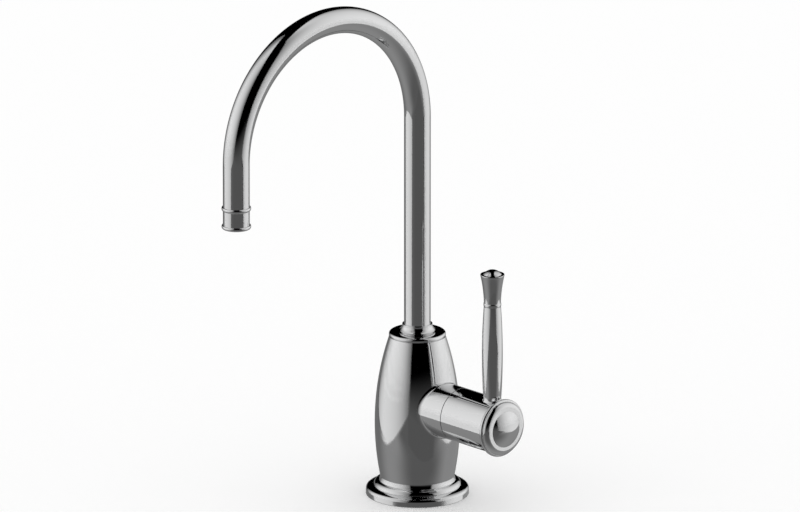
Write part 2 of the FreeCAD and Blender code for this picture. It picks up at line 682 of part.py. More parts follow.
def lever_hub():
    """Turning sleeve of the arm, with a splined web inside and a tapped hole for the lever."""
    steps = [
        Corner(HUB_CAVITY_RADIUS, HUB_START),
        Corner(arm_radius, HUB_START, HUB_START_ROUNDING),
        Corner(arm_radius, HUB_END, HUB_END_ROUNDING),
        Corner(HUB_CAVITY_RADIUS, HUB_END),
    ]
    web = ring(0, HUB_CAVITY_RADIUS + HUB_WEB_OVERLAP, HUB_WEB_START, HUB_WEB_END, ARM_AXIS)
    socket_end = SPINDLE_END + SOCKET_CLEARANCE
    socket = spline(SPLINE_ROOT_RADIUS + RUN_PLAY, SPINDLE_RADIUS + RUN_PLAY, HUB_WEB_START, socket_end)
    screw_way = ring(0, SCREW_RADIUS + SCREW_CLEARANCE, HUB_WEB_START, HUB_WEB_END, ARM_AXIS)
    hub_top = ARM_HEIGHT + arm_radius
    lever_hole = upright_hole(LEVER_SPIGOT_RADIUS + SEAT_PLAY, LEVER_OFFSET, ARM_HEIGHT, hub_top)
    return turned(steps, ARM_AXIS).fuse(web).cut([socket, screw_way, lever_hole]).removeSplitter()


def hub_screw():
    """Pan-head screw that draws the hub onto the spindle, with a cross slot."""
    seat = HUB_WEB_END + WASHER_THICKNESS
    head_end = seat + SCREW_HEAD_HEIGHT
    steps = [
        Corner(0, SPINDLE_END - SCREW_DEPTH),
        Corner(SCREW_RADIUS, SPINDLE_END - SCREW_DEPTH, EDGE_ROUNDING),
        Corner(SCREW_RADIUS, seat),
        Corner(SCREW_HEAD_RADIUS, seat),
        Corner(SCREW_HEAD_RADIUS, head_end, SCREW_HEAD_ROUNDING),
        Corner(0, head_end),
    ]
    slot_floor = head_end - SCREW_SLOT_DEPTH
    slots = [
        block(SCREW_SLOT_WIDTH, SCREW_SLOT_LENGTH, slot_floor, head_end, ARM_AXIS),
        block(SCREW_SLOT_LENGTH, SCREW_SLOT_WIDTH, slot_floor, head_end, ARM_AXIS),
    ]
    return turned(steps, ARM_AXIS).cut(slots)


def hub_screw_washer():
    """Plain washer under the screw's head."""
    inner = SCREW_RADIUS + WASHER_CLEARANCE
    outer = SCREW_HEAD_RADIUS + WASHER_OVERHANG
    return ring(inner, outer, HUB_WEB_END, HUB_WEB_END + WASHER_THICKNESS, ARM_AXIS)


# End cap
BUTTON_RADIUS = 8.75
BUTTON_STEM_RADIUS = 5.0
BUTTON_STEM_ROUNDING = 0.4
BUTTON_SEAT = 60.3
BUTTON_APEX = 63.85
CAP_PLUG_START = 55.2
BUTTON_STEM_START = 56.2
CAP_NECK_RADIUS = 12.3
CAP_NECK_END = 57.3
CAP_BEAD_RADIUS = 13.0
CAP_BEAD_START = 57.45
CAP_BEAD_MIDDLE = 58.4
CAP_BEAD_END = 59.27
CAP_NOSE_BEND = Through(12.02, 60.92)
CAP_NOSE_RADIUS = 10.25


def hub_cap():
    """Bull-nosed end ring: a plug in the hub, a fine neck, a bead, a nose and a flat round the button."""
    plug = HUB_CAVITY_RADIUS - SEAT_PLAY
    hole = BUTTON_STEM_RADIUS + SEAT_PLAY
    recess = BUTTON_RADIUS + SEAT_PLAY
    steps = [
        Corner(hole, CAP_PLUG_START),
        Corner(plug, CAP_PLUG_START, EDGE_ROUNDING),
        Corner(plug, HUB_END),
        Corner(CAP_NECK_RADIUS, HUB_END),
        Corner(CAP_NECK_RADIUS, CAP_NECK_END),
        Corner(CAP_BEAD_RADIUS, CAP_BEAD_START),
        Through(cap_radius, CAP_BEAD_MIDDLE),
        Corner(CAP_BEAD_RADIUS, CAP_BEAD_END),
        CAP_NOSE_BEND,
        Corner(CAP_NOSE_RADIUS, CAP_FRONT),
        Corner(recess, CAP_FRONT),
        Corner(recess, BUTTON_SEAT),
        Corner(hole, BUTTON_SEAT),
    ]
    return turned(steps, ARM_AXIS)


def cap_button():
    """Domed centre of the end cap, pressed in over the screw."""
    steps = [
        Corner(0, BUTTON_STEM_START),
        Corner(BUTTON_STEM_RADIUS, BUTTON_STEM_START, BUTTON_STEM_ROUNDING),
        Corner(BUTTON_STEM_RADIUS, BUTTON_SEAT),
        Corner(BUTTON_RADIUS, BUTTON_SEAT),
        Corner(BUTTON_RADIUS, CAP_FRONT),
        dome_through(BUTTON_RADIUS, CAP_FRONT, BUTTON_APEX),
        Corner(0, BUTTON_APEX),
    ]
    return turned(steps, ARM_AXIS)


# Lever
LEVER_SPIGOT_RADIUS = 2.9
LEVER_SPIGOT_DEPTH = 4.4
LEVER_FOOT_RADIUS = 4.3
LEVER_NECK_RADIUS = 4.1
LEVER_TENON_RADIUS = 2.2
LEVER_TENON_LENGTH = 5.0
LEVER_FOOT_SINK = 1.5
SPIGOT_OVERLAP = 1.0
FINIAL_RADIUS = 5.72
FINIAL_SOCKET_GAP = 0.3
FINIAL_SEAT_GAP = 0.02
FINIAL_GROOVE_RADIUS = 3.9
FINIAL_GROOVE_HEIGHT = 0.25
FINIAL_BEAD_RADIUS = 4.25
FINIAL_BEAD_HEIGHT = 1.95
FINIAL_BEAD_ROUNDINGS = (0.45, 0.6)
FINIAL_FLARE_RADIUS = 4.05
FINIAL_FLARE_BEND = Through(4.55, 113.1)
FINIAL_LIP_START = 119.7
FINIAL_LIP_TOP = 120.5
FINIAL_LIP_FLARE = 0.05
FINIAL_LIP_RISE = 0.15
FINIAL_LIP_ROUNDING = 0.12
FINIAL_DOME_RADIUS = 4.35


def lever_stem():
    """Swelled rod, saddled on the hub, with a threaded spigot below and a tenon above."""
    hub_top = ARM_HEIGHT + arm_radius
    foot = hub_top - LEVER_FOOT_SINK
    spigot_foot = hub_top - LEVER_SPIGOT_DEPTH
    tenon_top = LEVER_NECK_HEIGHT + LEVER_TENON_LENGTH
    steps = [
        Corner(0, foot),
        Corner(LEVER_FOOT_RADIUS, foot),
        Through(LEVER_SWELL_DIAMETER / 2, LEVER_SWELL_HEIGHT),
        Corner(LEVER_NECK_RADIUS, LEVER_NECK_HEIGHT),
        Corner(LEVER_TENON_RADIUS, LEVER_NECK_HEIGHT),
        Corner(LEVER_TENON_RADIUS, tenon_top, EDGE_ROUNDING),
        Corner(0, tenon_top),
    ]
    saddle = ring(0, arm_radius + SEAT_PLAY, HUB_START, HUB_END, ARM_AXIS)
    spigot = upright_hole(LEVER_SPIGOT_RADIUS, LEVER_OFFSET, spigot_foot, hub_top + SPIGOT_OVERLAP)
    return turned(steps, LEVER_AXIS).cut(saddle).fuse(spigot).removeSplitter()


def lever_finial():
    """Flared tip: a bead, a hollow flare, a lip with a narrow ledge and a dome."""
    seat = LEVER_NECK_HEIGHT + FINIAL_SEAT_GAP
    bead_low = LEVER_NECK_HEIGHT + FINIAL_GROOVE_HEIGHT
    bead_high = LEVER_NECK_HEIGHT + FINIAL_BEAD_HEIGHT
    low_rounding, high_rounding = FINIAL_BEAD_ROUNDINGS
    socket = LEVER_TENON_RADIUS + SEAT_PLAY
    socket_top = LEVER_NECK_HEIGHT + LEVER_TENON_LENGTH + FINIAL_SOCKET_GAP
    steps = [
        Corner(socket, seat),
        Corner(FINIAL_GROOVE_RADIUS, seat),
        Corner(FINIAL_GROOVE_RADIUS, bead_low),
        Corner(FINIAL_BEAD_RADIUS, bead_low, low_rounding),
        Corner(FINIAL_BEAD_RADIUS, bead_high, high_rounding),
        Corner(FINIAL_FLARE_RADIUS, bead_high),
        FINIAL_FLARE_BEND,
        Corner(FINIAL_RADIUS - FINIAL_LIP_FLARE, FINIAL_LIP_START),
        Corner(FINIAL_RADIUS, FINIAL_LIP_START + FINIAL_LIP_RISE),
        Corner(FINIAL_RADIUS, FINIAL_LIP_TOP, FINIAL_LIP_ROUNDING),
        Corner(FINIAL_DOME_RADIUS, FINIAL_LIP_TOP),
        dome_through(FINIAL_DOME_RADIUS, FINIAL_LIP_TOP, LEVER_TOP_HEIGHT),
        Corner(0, LEVER_TOP_HEIGHT),
        Corner(0, socket_top),
        Corner(socket, socket_top),
    ]
    return turned(steps, LEVER_AXIS)


PIECES = {
    "base_flange": base_flange,
    "base_gasket": base_gasket,
    "barrel_body": barrel_body,
    "valve_housing": valve_housing,
    "housing_seal": housing_seal,
    "cartridge_body": cartridge_body,
    "cartridge_seat_seal": cartridge_seat_seal,
    "fixed_ceramic_disc": fixed_ceramic_disc,
    "hub_glide_ring": hub_glide_ring,
    "spout_gland_ring": spout_gland_ring,
    "swivel_bush": swivel_bush,
    "spout_tube": spout_tube,
    "spout_collar": spout_collar,
    "spout_insert": spout_insert,
    "spout_o_ring_upper": lambda: spout_seal(1),
    "spout_o_ring_lower": lambda: spout_seal(0),
    "spout_tip": spout_tip,
    "flow_straightener": flow_straightener,
    "outlet_washer": outlet_washer,
    "lever_hub": lever_hub,
    "hub_cap": hub_cap,
    "cap_button": cap_button,
    "hub_screw": hub_screw,
    "hub_screw_washer": hub_screw_washer,
    "valve_spindle": valve_spindle,
    "moving_ceramic_disc": moving_ceramic_disc,
    "spindle_o_ring_inner": lambda: spindle_seal(0),
    "spindle_o_ring_outer": lambda: spindle_seal(1),
    "spindle_circlip": spindle_circlip,
    "lever_stem": lever_stem,
    "lever_finial": lever_finial,
}


def main():
    """Builds every piece and writes it to its own file."""
    os.makedirs("parts", exist_ok=True)
    for name, build in PIECES.items():
        shape = build()
        shape.exportStep(f"parts/{name}.step")
        print(name, len(shape.Solids), shape.isValid(), round(shape.Volume, 1))


main()
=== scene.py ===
import logging
import math
from collections.abc import Callable
from dataclasses import dataclass, field
from enum import Enum
from typing import Any

import bmesh
import bpy
from bmesh.types import BMEdge, BMesh, BMVert
from bpy.types import Material, Node, NodeSocket, NodeTree, Object
from mathutils import Matrix, Vector


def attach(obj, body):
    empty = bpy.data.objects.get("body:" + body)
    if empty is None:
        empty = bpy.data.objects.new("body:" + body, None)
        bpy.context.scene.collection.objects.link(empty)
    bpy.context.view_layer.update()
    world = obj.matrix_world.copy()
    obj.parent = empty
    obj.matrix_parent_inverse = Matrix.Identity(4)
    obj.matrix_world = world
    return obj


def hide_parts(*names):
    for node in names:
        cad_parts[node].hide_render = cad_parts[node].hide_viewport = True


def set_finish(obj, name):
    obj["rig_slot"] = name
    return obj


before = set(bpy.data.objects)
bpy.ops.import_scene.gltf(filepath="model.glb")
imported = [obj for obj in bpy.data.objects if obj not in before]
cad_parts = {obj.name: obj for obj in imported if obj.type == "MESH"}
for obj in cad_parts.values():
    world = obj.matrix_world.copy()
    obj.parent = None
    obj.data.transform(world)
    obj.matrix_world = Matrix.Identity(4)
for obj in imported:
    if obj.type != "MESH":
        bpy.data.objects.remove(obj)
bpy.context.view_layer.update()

# A filtered-water tap in bright chrome. Sizes are in millimetres unless a name says otherwise, and the
# frame is the CAD model's: Z up from the deck, the spout towards -Y and the valve arm towards +X.

MM = 0.001
SHARP_ANGLE = math.radians(34)
MERGE = 1e-4

# Faces round a turned piece: a wide one, most of them and a slim one.
WIDE_STEPS = 256
STEPS = 192
SLIM_STEPS = 128

# Numbers of the mix node's colour sockets: the two that go in and the one that comes out.
MIX_FIRST = 6
MIX_SECOND = 7
MIX_RESULT = 2

# A point is a radius and a height on a turned piece. A pair is two values of one kind.
Point = tuple[float, float]
Pair = tuple[float, float]
Triple = tuple[float, float, float]
Tone = tuple[float, float, float, float]

# Sizes that several pieces share. The play is the gap round a piece that is put into another one.
REACH = 116.9
ARM_HEIGHT = 45.65
ARM_RADIUS = 12.87
FOOT_BORE = 14.1
FOOT_TOP = (18.3, 7.05)
PLAY = 0.03

log = logging.getLogger("tap")


class Body(Enum):
    """CAD bodies that the pieces ride on."""

    FIXED = "body"
    SPOUT = "spout"
    LEVER = "lever"


class Slot(Enum):
    """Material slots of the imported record."""

    CHROME = "polished_chrome"
    BRASS = "turned_brass"
    RUBBER = "black_rubber"
    CERAMIC = "white_ceramic"
    ACETAL = "grey_acetal"
    STEEL = "stainless_steel"


class Axis(Enum):
    """Axes of the turned pieces: where each one stands, and whether it lies along the arm."""

    BARREL = ((0.0, 0.0, 0.0), False)
    ARM = ((0.0, 0.0, ARM_HEIGHT), True)
    LEVER = ((51.9, 0.0, 0.0), False)
    OUTLET = ((0.0, -REACH, 0.0), False)

    @property
    def place(self) -> Matrix:
        """Where the piece stands.

        Returns:
            The matrix from the piece's own upright axis to the tap, in metres.
        """
        foot, along_arm = self.value
        turn = Matrix.Rotation(math.radians(90), 4, "Y") if along_arm else Matrix.Identity(4)
        return Matrix.Scale(MM, 4) @ Matrix.Translation(foot) @ turn


class Graph:
    """Wires one node tree."""

    def __init__(self, tree: NodeTree) -> None:
        """Empties the tree.

        Args:
            tree: a material's, world's or group's node tree.
        """
        self.tree = tree
        self.tree.nodes.clear()

    def node(self, kind: str, inputs: dict[str | int, Any] | None = None, **settings: Any) -> Node:
        """Adds a node.

        Args:
            kind: the node's type name without its ShaderNode prefix.
            inputs: values or sockets for its inputs, by name or number.
            settings: its other properties.

        Returns:
            The node.
        """
        prefix = "" if kind.startswith("NodeGroup") else "ShaderNode"
        made = self.tree.nodes.new(prefix + kind)
        for name, value in settings.items():
            setattr(made, name, value)
        for name, value in (inputs or {}).items():
            if isinstance(value, NodeSocket):
                self.tree.links.new(value, made.inputs[name])
            else:
                made.inputs[name].default_value = value
        return made

    def between(self, value: NodeSocket, low: float, high: float) -> NodeSocket:
        """Spreads a value of 0 to 1 over a range.

        Args:
            value: the value's socket.
            low: the result at 0.
            high: the result at 1.

        Returns:
            The result's socket.
        """
        return self.node("MapRange", {"Value": value, "To Min": low, "To Max": high}).outputs["Result"]

    def tint(self, share: NodeSocket, first: Tone, second: Tone) -> NodeSocket:
        """Mixes two tones.

        Args:
            share: socket of the second tone's share, from 0 to 1.
            first: the tone at 0.
            second: the tone at 1.

        Returns:
            The colour's socket.
        """
        inputs = {"Factor": share, MIX_FIRST: first, MIX_SECOND: second}
        return self.node("Mix", inputs, data_type="RGBA").outputs[MIX_RESULT]

    def relief(self, height: NodeSocket, strength: float, depth: float) -> NodeSocket:
        """Turns a pattern into a fine relief.

        Args:
            height: the pattern's socket.
            strength: how much of the relief shows, from 0 to 1.
            depth: the relief's full depth in millimetres.

        Returns:
            The normal's socket.
        """
        bump = self.node("Bump", {"Strength": strength, "Distance": MM * depth, "Height": height})
        return bump.outputs["Normal"]

    def surface(self, inputs: dict[str | int, Any]) -> None:
        """Ends a material with a principled shader.

        Args:
            inputs: values or sockets for the shader's inputs, by name.
        """
        shader = self.node("BsdfPrincipled", inputs)
        self.node("OutputMaterial", {"Surface": shader.outputs[0]})


def new_material(name: str) -> tuple[Material, Graph]:
    """Starts a material.

    Args:
        name: the material's name.

    Returns:
        The material and its empty graph.
    """
    made = bpy.data.materials.new(name)
    made.use_nodes = True
    return made, Graph(made.node_tree)


def new_group(name: str, inputs: dict[str, str], outputs: dict[str, str]) -> tuple[Graph, Any, Node]:
    """Starts a shader node group.

    Args:
        name: the group's name.
        inputs: the names of its inputs, with their socket types.
        outputs: the names of its outputs, with their socket types.

    Returns:
        The group's graph, its input sockets and its output node.
    """
    tree = bpy.data.node_groups.new(name, "ShaderNodeTree")
    for socket, kind in inputs.items():
        tree.interface.new_socket(socket, in_out="INPUT", socket_type=kind)
    for socket, kind in outputs.items():
        tree.interface.new_socket(socket, in_out="OUTPUT", socket_type=kind)
    graph = Graph(tree)
    return graph, graph.node("NodeGroupInput").outputs, graph.node("NodeGroupOutput")


def buffing_group() -> NodeTree:
    """The haze and fine ripple that buffing leaves on a plated surface.

    Returns:
        A group that puts out a cloudy haze and a fine ripple, both from 0 to 1.
    """
    graph, given, out = new_group(
        "buffing",
        {"Cloud Scale": "NodeSocketFloat", "Ripple Scale": "NodeSocketFloat"},
        {"Cloud": "NodeSocketFloat", "Ripple": "NodeSocketFloat"},
    )
    place = graph.node("TexCoord").outputs["Object"]
    cloud = graph.node(
        "TexNoise", {"Vector": place, "Scale": given["Cloud Scale"], "Detail": 4.0, "Roughness": 0.62}
    )
    ripple = graph.node("TexNoise", {"Vector": place, "Scale": given["Ripple Scale"], "Detail": 2.0})
    graph.tree.links.new(cloud.outputs["Fac"], out.inputs["Cloud"])
    graph.tree.links.new(ripple.outputs["Fac"], out.inputs["Ripple"])
    return graph.tree


def lathe_group() -> NodeTree:
    """The fine rings that a lathe tool leaves round a piece's axis.

    Returns:
        A group that takes coordinates about an upright axis and puts out the rings from 0 to 1.
    """
    graph, given, out = new_group(
        "lathe marks",
        {"Coordinates": "NodeSocketVector", "Fineness": "NodeSocketFloat"},
        {"Rings": "NodeSocketFloat"},
    )
    parts = graph.node("SeparateXYZ", {0: given["Coordinates"]}).outputs
    across = graph.node("CombineXYZ", {0: parts[0], 1: parts[1], 2: 0.0}).outputs[0]
    reach = graph.node("VectorMath", {0: across}, operation="LENGTH").outputs["Value"]
    section = graph.node("CombineXYZ", {0: reach, 1: 0.0, 2: parts[2]}).outputs[0]
    rings = graph.node(
        "TexNoise", {"Vector": section, "Scale": given["Fineness"], "Detail": 3.0, "Roughness": 0.7}
    )
    graph.tree.links.new(rings.outputs["Fac"], out.inputs["Rings"])
    return graph.tree


class Groups:
    """The node groups that the finishes share."""

    def __init__(self) -> None:
        """Builds each group once."""
        self.buffing = buffing_group()
        self.lathe = lathe_group()


@dataclass(frozen=True)
class PolishedChrome:
    """Bright chrome plate: a mirror with a faint buffing haze and ripple."""

    slot: Slot = Slot.CHROME
    dull: Tone = (0.72, 0.722, 0.725, 1.0)
    bright: Tone = (0.755, 0.757, 0.76, 1.0)
    roughness: Pair = (0.03, 0.065)
    cloud_scale: float = 55.0
    ripple_scale: float = 420.0
    ripple_strength: float = 0.006
    ripple_depth: float = 1.0

    def material(self, groups: Groups) -> Material:
        """Builds the finish.

        Args:
            groups: the shared node groups.

        Returns:
            The material.
        """
        made, graph = new_material(self.slot.value)
        scales = {"Cloud Scale": self.cloud_scale, "Ripple Scale": self.ripple_scale}
        buffing = graph.node("Group", scales, node_tree=groups.buffing)
        cloud, ripple = buffing.outputs["Cloud"], buffing.outputs["Ripple"]
        graph.surface(
            {
                "Base Color": graph.tint(cloud, self.dull, self.bright),
                "Metallic": 1.0,
                "Roughness": graph.between(cloud, *self.roughness),
                "Normal": graph.relief(ripple, self.ripple_strength, self.ripple_depth),
            }
        )
        return made


@dataclass(frozen=True)
class TurnedMetal:
    """Bare metal straight from the lathe, with rings about its axis."""

    slot: Slot
    axis: Axis
    dark: Tone
    light: Tone
    roughness: Pair = (0.2, 0.36)
    fineness: float = 3200.0
    ring_strength: float = 0.12
    ring_depth: float = 0.05

    def material(self, groups: Groups) -> Material:
        """Builds the finish.

        Args:
            groups: the shared node groups.

        Returns:
            The material.
        """
        made, graph = new_material(f"{self.slot.value}_{self.axis.name.lower()}")
        foot, along_arm = self.axis.value
        turn = (0.0, math.radians(-90), 0.0) if along_arm else (0.0, 0.0, 0.0)
        place = graph.node("TexCoord").outputs["Object"]
        centred = graph.node("Mapping", {"Vector": place, "Location": Vector(foot) * -MM}).outputs[0]
        upright = graph.node("Mapping", {"Vector": centred, "Rotation": turn}).outputs[0]
        cut = {"Coordinates": upright, "Fineness": self.fineness}
        rings = graph.node("Group", cut, node_tree=groups.lathe).outputs["Rings"]
        graph.surface(
            {
                "Base Color": graph.tint(rings, self.dark, self.light),
                "Metallic": 1.0,
                "Roughness": graph.between(rings, *self.roughness),
                "Normal": graph.relief(rings, self.ring_strength, self.ring_depth),
            }
        )
        return made


@dataclass(frozen=True)
class Moulded:
    """Moulded or fired non-metal: rubber, plastic or ceramic, with its own grain."""

    slot: Slot
    dark: Tone
    light: Tone
    roughness: Pair
    grain_scale: float
    grain_strength: float
    grain_depth: float = 0.1
    cloud_scale: float = 140.0

    def material(self, groups: Groups) -> Material:
        """Builds the finish.

        Args:
            groups: the shared node groups.

        Returns:
            The material.
        """
        made, graph = new_material(self.slot.value)
        scales = {"Cloud Scale": self.cloud_scale, "Ripple Scale": self.grain_scale}
        buffing = graph.node("Group", scales, node_tree=groups.buffing)
        cloud, grain = buffing.outputs["Cloud"], buffing.outputs["Ripple"]
        graph.surface(
            {
                "Base Color": graph.tint(cloud, self.dark, self.light),
                "Roughness": graph.between(grain, *self.roughness),
                "Normal": graph.relief(grain, self.grain_strength, self.grain_depth),
            }
        )
        return made


class FinishSet:
    """Every finish of the tap, built once."""

    def __init__(self) -> None:
        """Builds the materials."""
        groups = Groups()
        rubber = ((0.014, 0.014, 0.015, 1.0), (0.034, 0.034, 0.036, 1.0))
        ceramic = ((0.82, 0.81, 0.77, 1.0), (0.9, 0.89, 0.87, 1.0))
        acetal = ((0.26, 0.27, 0.28, 1.0), (0.33, 0.34, 0.35, 1.0))
        brass = ((0.56, 0.39, 0.16, 1.0), (0.78, 0.6, 0.32, 1.0))
        steel = ((0.5, 0.5, 0.49, 1.0), (0.66, 0.66, 0.65, 1.0))
        plain = (
            PolishedChrome(),
            Moulded(Slot.RUBBER, *rubber, roughness=(0.55, 0.78), grain_scale=2600.0, grain_strength=0.3),
            Moulded(Slot.CERAMIC, *ceramic, roughness=(0.16, 0.3), grain_scale=5200.0, grain_strength=0.05),
            Moulded(Slot.ACETAL, *acetal, roughness=(0.38, 0.55), grain_scale=3400.0, grain_strength=0.12),
        )
        self.plain = {finish.slot: finish.material(groups) for finish in plain}
        self.turned = {
            (slot, axis): TurnedMetal(slot, axis, *tones).material(groups)
            for slot, tones in ((Slot.BRASS, brass), (Slot.STEEL, steel))
            for axis in (Axis.BARREL, Axis.ARM)
        }

    def of(self, slot: Slot, axis: Axis = Axis.BARREL) -> Material:
        """The material of a slot.

        Args:
            slot: the record's slot.
            axis: the axis that turned metal was turned about.

        Returns:
            The material.
        """
        return self.turned[slot, axis] if (slot, axis) in self.turned else self.plain[slot]


def placed(bm: BMesh, axis: Axis) -> BMesh:
    """Stands a turned mesh on its axis.

    Args:
        bm: the mesh, in millimetres about its own upright axis.
        axis: the axis that the piece stands on.

    Returns:
        The same mesh, in metres and in place.
    """
    bmesh.ops.transform(bm, matrix=axis.place, verts=bm.verts[:])
    return bm


def verts_in(geom: list[Any]) -> list[BMVert]:
    """The vertices in an operator's results."""
    return [item for item in geom if isinstance(item, BMVert)]


def edges_in(geom: list[Any]) -> list[BMEdge]:
    """The edges in an operator's results."""
    return [item for item in geom if isinstance(item, BMEdge)]


class Outline:
    """Half of a turned piece's section: a wire drawn by radius and height, then spun about its axis."""

    def __init__(self, radius: float, height: float) -> None:
        """Sets the pen down.

        Args:
            radius: distance from the axis.
            height: height along the axis.
        """
        self.bm = bmesh.new()
        self.tip = self.bm.verts.new((radius, 0.0, height))
        self.first = self.tip
        self.corners: list[tuple[BMVert, float]] = []

    def line(self, radius: float, height: float, rounding: float = 0.0) -> "Outline":
        """Draws a straight edge.

        Args:
            radius: the end's distance from the axis.
            height: the end's height.
            rounding: radius that the corner at its end is rounded to.

        Returns:
            The outline, to draw on.
        """
        self.tip = bmesh.ops.extrude_vert_indiv(self.bm, verts=[self.tip])["verts"][0]
        self.tip.co = (radius, 0.0, height)
        if rounding:
            self.corners.append((self.tip, rounding))
        return self

    def arc(self, through: Point, end: Point, steps: int = 16) -> "Outline":
        """Draws an arc by spinning the pen's point about its centre.

        Args:
            through: radius and height of a point on the way.
            end: radius and height of its end.
            steps: how many edges it has.

        Returns:
            The outline, to draw on.
        """
        a, b, c = Vector((self.tip.co.x, self.tip.co.z)), Vector(through), Vector(end)
        twice = 2 * (b - a).cross(c - b)
        square = [p.length_squared for p in (a, b, c)]
        centre = Vector(
            (
                square[0] * (b.y - c.y) + square[1] * (c.y - a.y) + square[2] * (a.y - b.y),
                square[0] * (c.x - b.x) + square[1] * (a.x - c.x) + square[2] * (b.x - a.x),
            )
        ) / twice
        sweep = -(a - centre).angle_signed(c - centre) % (2 * math.pi)
        if twice < 0:
            sweep -= 2 * math.pi
        made = bmesh.ops.spin(
            self.bm,
            geom=[self.tip],
            cent=(centre.x, 0, centre.y),
            axis=(0, -1, 0),
            angle=sweep,
            steps=steps,
        )
        self.tip = verts_in(made["geom_last"])[0]
        self.tip.co = (end[0], 0.0, end[1])
        return self

    def close(self) -> "Outline":
        """Joins the last point to the first.

        Returns:
            The outline, to spin.
        """
        self.bm.edges.new((self.tip, self.first))
        return self

    def round_corners(self, segments: int = 7) -> None:
        """Rounds the corners that asked for it.

        Args:
            segments: edges in each rounding.
        """
        for corner, rounding in self.corners:
            arms = [(edge.other_vert(corner).co - corner.co).normalized() for edge in corner.link_edges]
            reach = rounding / math.tan(arms[0].angle(arms[1]) / 2)
            bmesh.ops.bevel(
                self.bm,
                geom=[corner],
                offset=reach,
                offset_type="OFFSET",
                segments=segments,
                profile=0.5,
                affect="VERTICES",
                clamp_overlap=False,
                material=-1,
            )

    def turn(self, steps: int) -> BMesh:
        """Turns the outline about its own axis.

        Args:
            steps: faces round the piece.

        Returns:
            The mesh, in millimetres.
        """
        self.round_corners()
        bmesh.ops.spin(
            self.bm,
            geom=self.bm.verts[:] + self.bm.edges[:],
            cent=(0, 0, 0),
            axis=(0, 0, 1),
            angle=2 * math.pi,
            steps=steps,
            use_merge=True,
        )
        bmesh.ops.remove_doubles(self.bm, verts=self.bm.verts[:], dist=MERGE)
        bmesh.ops.recalc_face_normals(self.bm, faces=self.bm.faces[:])
        return self.bm

    def spin(self, axis: Axis, steps: int = STEPS) -> BMesh:
        """Turns the outline into a closed mesh.

        Args:
            axis: the axis that the piece stands on.
            steps: faces round the piece.

        Returns:
            The mesh, in metres and in place.
        """
        return placed(self.turn(steps), axis)


@dataclass(frozen=True)
class Blend:
    """Hollow rounding at a round stem's root, drawn flat and then laid on the face that the stem leaves."""

    stem: float
    radius: float
    root: float = 0.3

    def draw(self, outline: Outline) -> Outline:
        """Draws the rounding, with its heights measured from the piece's face.

        Args:
            outline: the stem's outline, drawn up to its root.

        Returns:
            The outline, to draw on up the stem.
        """
        outer = self.stem + self.radius
        middle = self.radius * (1 - math.sqrt(0.5))
        outline.line(outer, -self.root).line(outer, 0)
        return outline.arc((self.stem + middle, middle), (self.stem, self.radius))

    def lay(self, bm: BMesh, face: Callable[[float, float], float]) -> BMesh:
        """Lays the rounding on the piece's face.

        Args:
            bm: the stem's mesh, in millimetres about its own axis, with nothing else as low as the rounding.
            face: the height of the face at a place across the axis.

        Returns:
            The same mesh.
        """
        for vert in bm.verts:
            if vert.co.z < self.radius + MERGE:
                vert.co.z += face(vert.co.x, vert.co.y)
        bmesh.ops.recalc_face_normals(bm, faces=bm.faces[:])
        return bm


@dataclass(frozen=True)
class Thread:
    """Metric thread in a socket of the barrel's underside."""

    offset: float
    major: float
    minor: float
    pitch: float
    depth: float
    crest: float = 0.25
    steps: int = 48

    def cut(self, bm: BMesh, mouth: float) -> None:
        """Adds the threaded wall and end of the socket by spinning one ridge up a helix.

        Args:
            bm: the barrel's mesh, in millimetres.
            mouth: height of the socket's mouth.
        """
        wall = bmesh.new()
        start = mouth - self.pitch
        flank = self.pitch * (1 - self.crest) / 2
        tip = wall.verts.new((self.offset + self.major, 0, start))
        for radius, rise in ((self.minor, flank), (self.minor, self.pitch - flank), (self.major, self.pitch)):
            tip = bmesh.ops.extrude_vert_indiv(wall, verts=[tip])["verts"][0]
            tip.co = (self.offset + radius, 0, start + rise)
        turns = math.ceil(self.depth / self.pitch) + 2
        bmesh.ops.spin(
            wall,
            geom=wall.verts[:] + wall.edges[:],
            cent=(self.offset, 0, 0),
            axis=(0, 0, 1),
            dvec=(0, 0, self.pitch / self.steps),
            angle=2 * math.pi * turns,
            steps=self.steps * turns,
        )
        bmesh.ops.remove_doubles(wall, verts=wall.verts[:], dist=MERGE)
        for height, outward in ((mouth, -1), (mouth + self.depth, 1)):
            bmesh.ops.bisect_plane(
                wall,
                geom=wall.verts[:] + wall.edges[:] + wall.faces[:],
                dist=MERGE,
                plane_co=(0, 0, height),
                plane_no=(0, 0, outward),
                clear_outer=True,
            )
        middle = mouth + self.depth / 2
        end = [edge for edge in wall.edges if edge.is_boundary and edge.verts[0].co.z > middle]
        bmesh.ops.holes_fill(wall, edges=end, sides=0)
        mesh = bpy.data.meshes.new("socket")
        wall.to_mesh(mesh)
        wall.free()
        bm.from_mesh(mesh)
        bpy.data.meshes.remove(mesh)


def shown(bm: BMesh, name: str) -> Object:
    """Puts a finished mesh in the scene.

    Args:
        bm: the mesh, which is freed.
        name: the object's name.

    Returns:
        The object, at the origin.
    """
    mesh = bpy.data.meshes.new(name)
    bm.to_mesh(mesh)
    bm.free()
    made = bpy.data.objects.new(name, mesh)
    bpy.context.scene.collection.objects.link(made)
    return made


@dataclass(frozen=True)
class Kept:
    """CAD nodes that stay as they are, with the finish that they take."""

    slot: Slot
    axis: Axis
    nodes: tuple[str, ...]


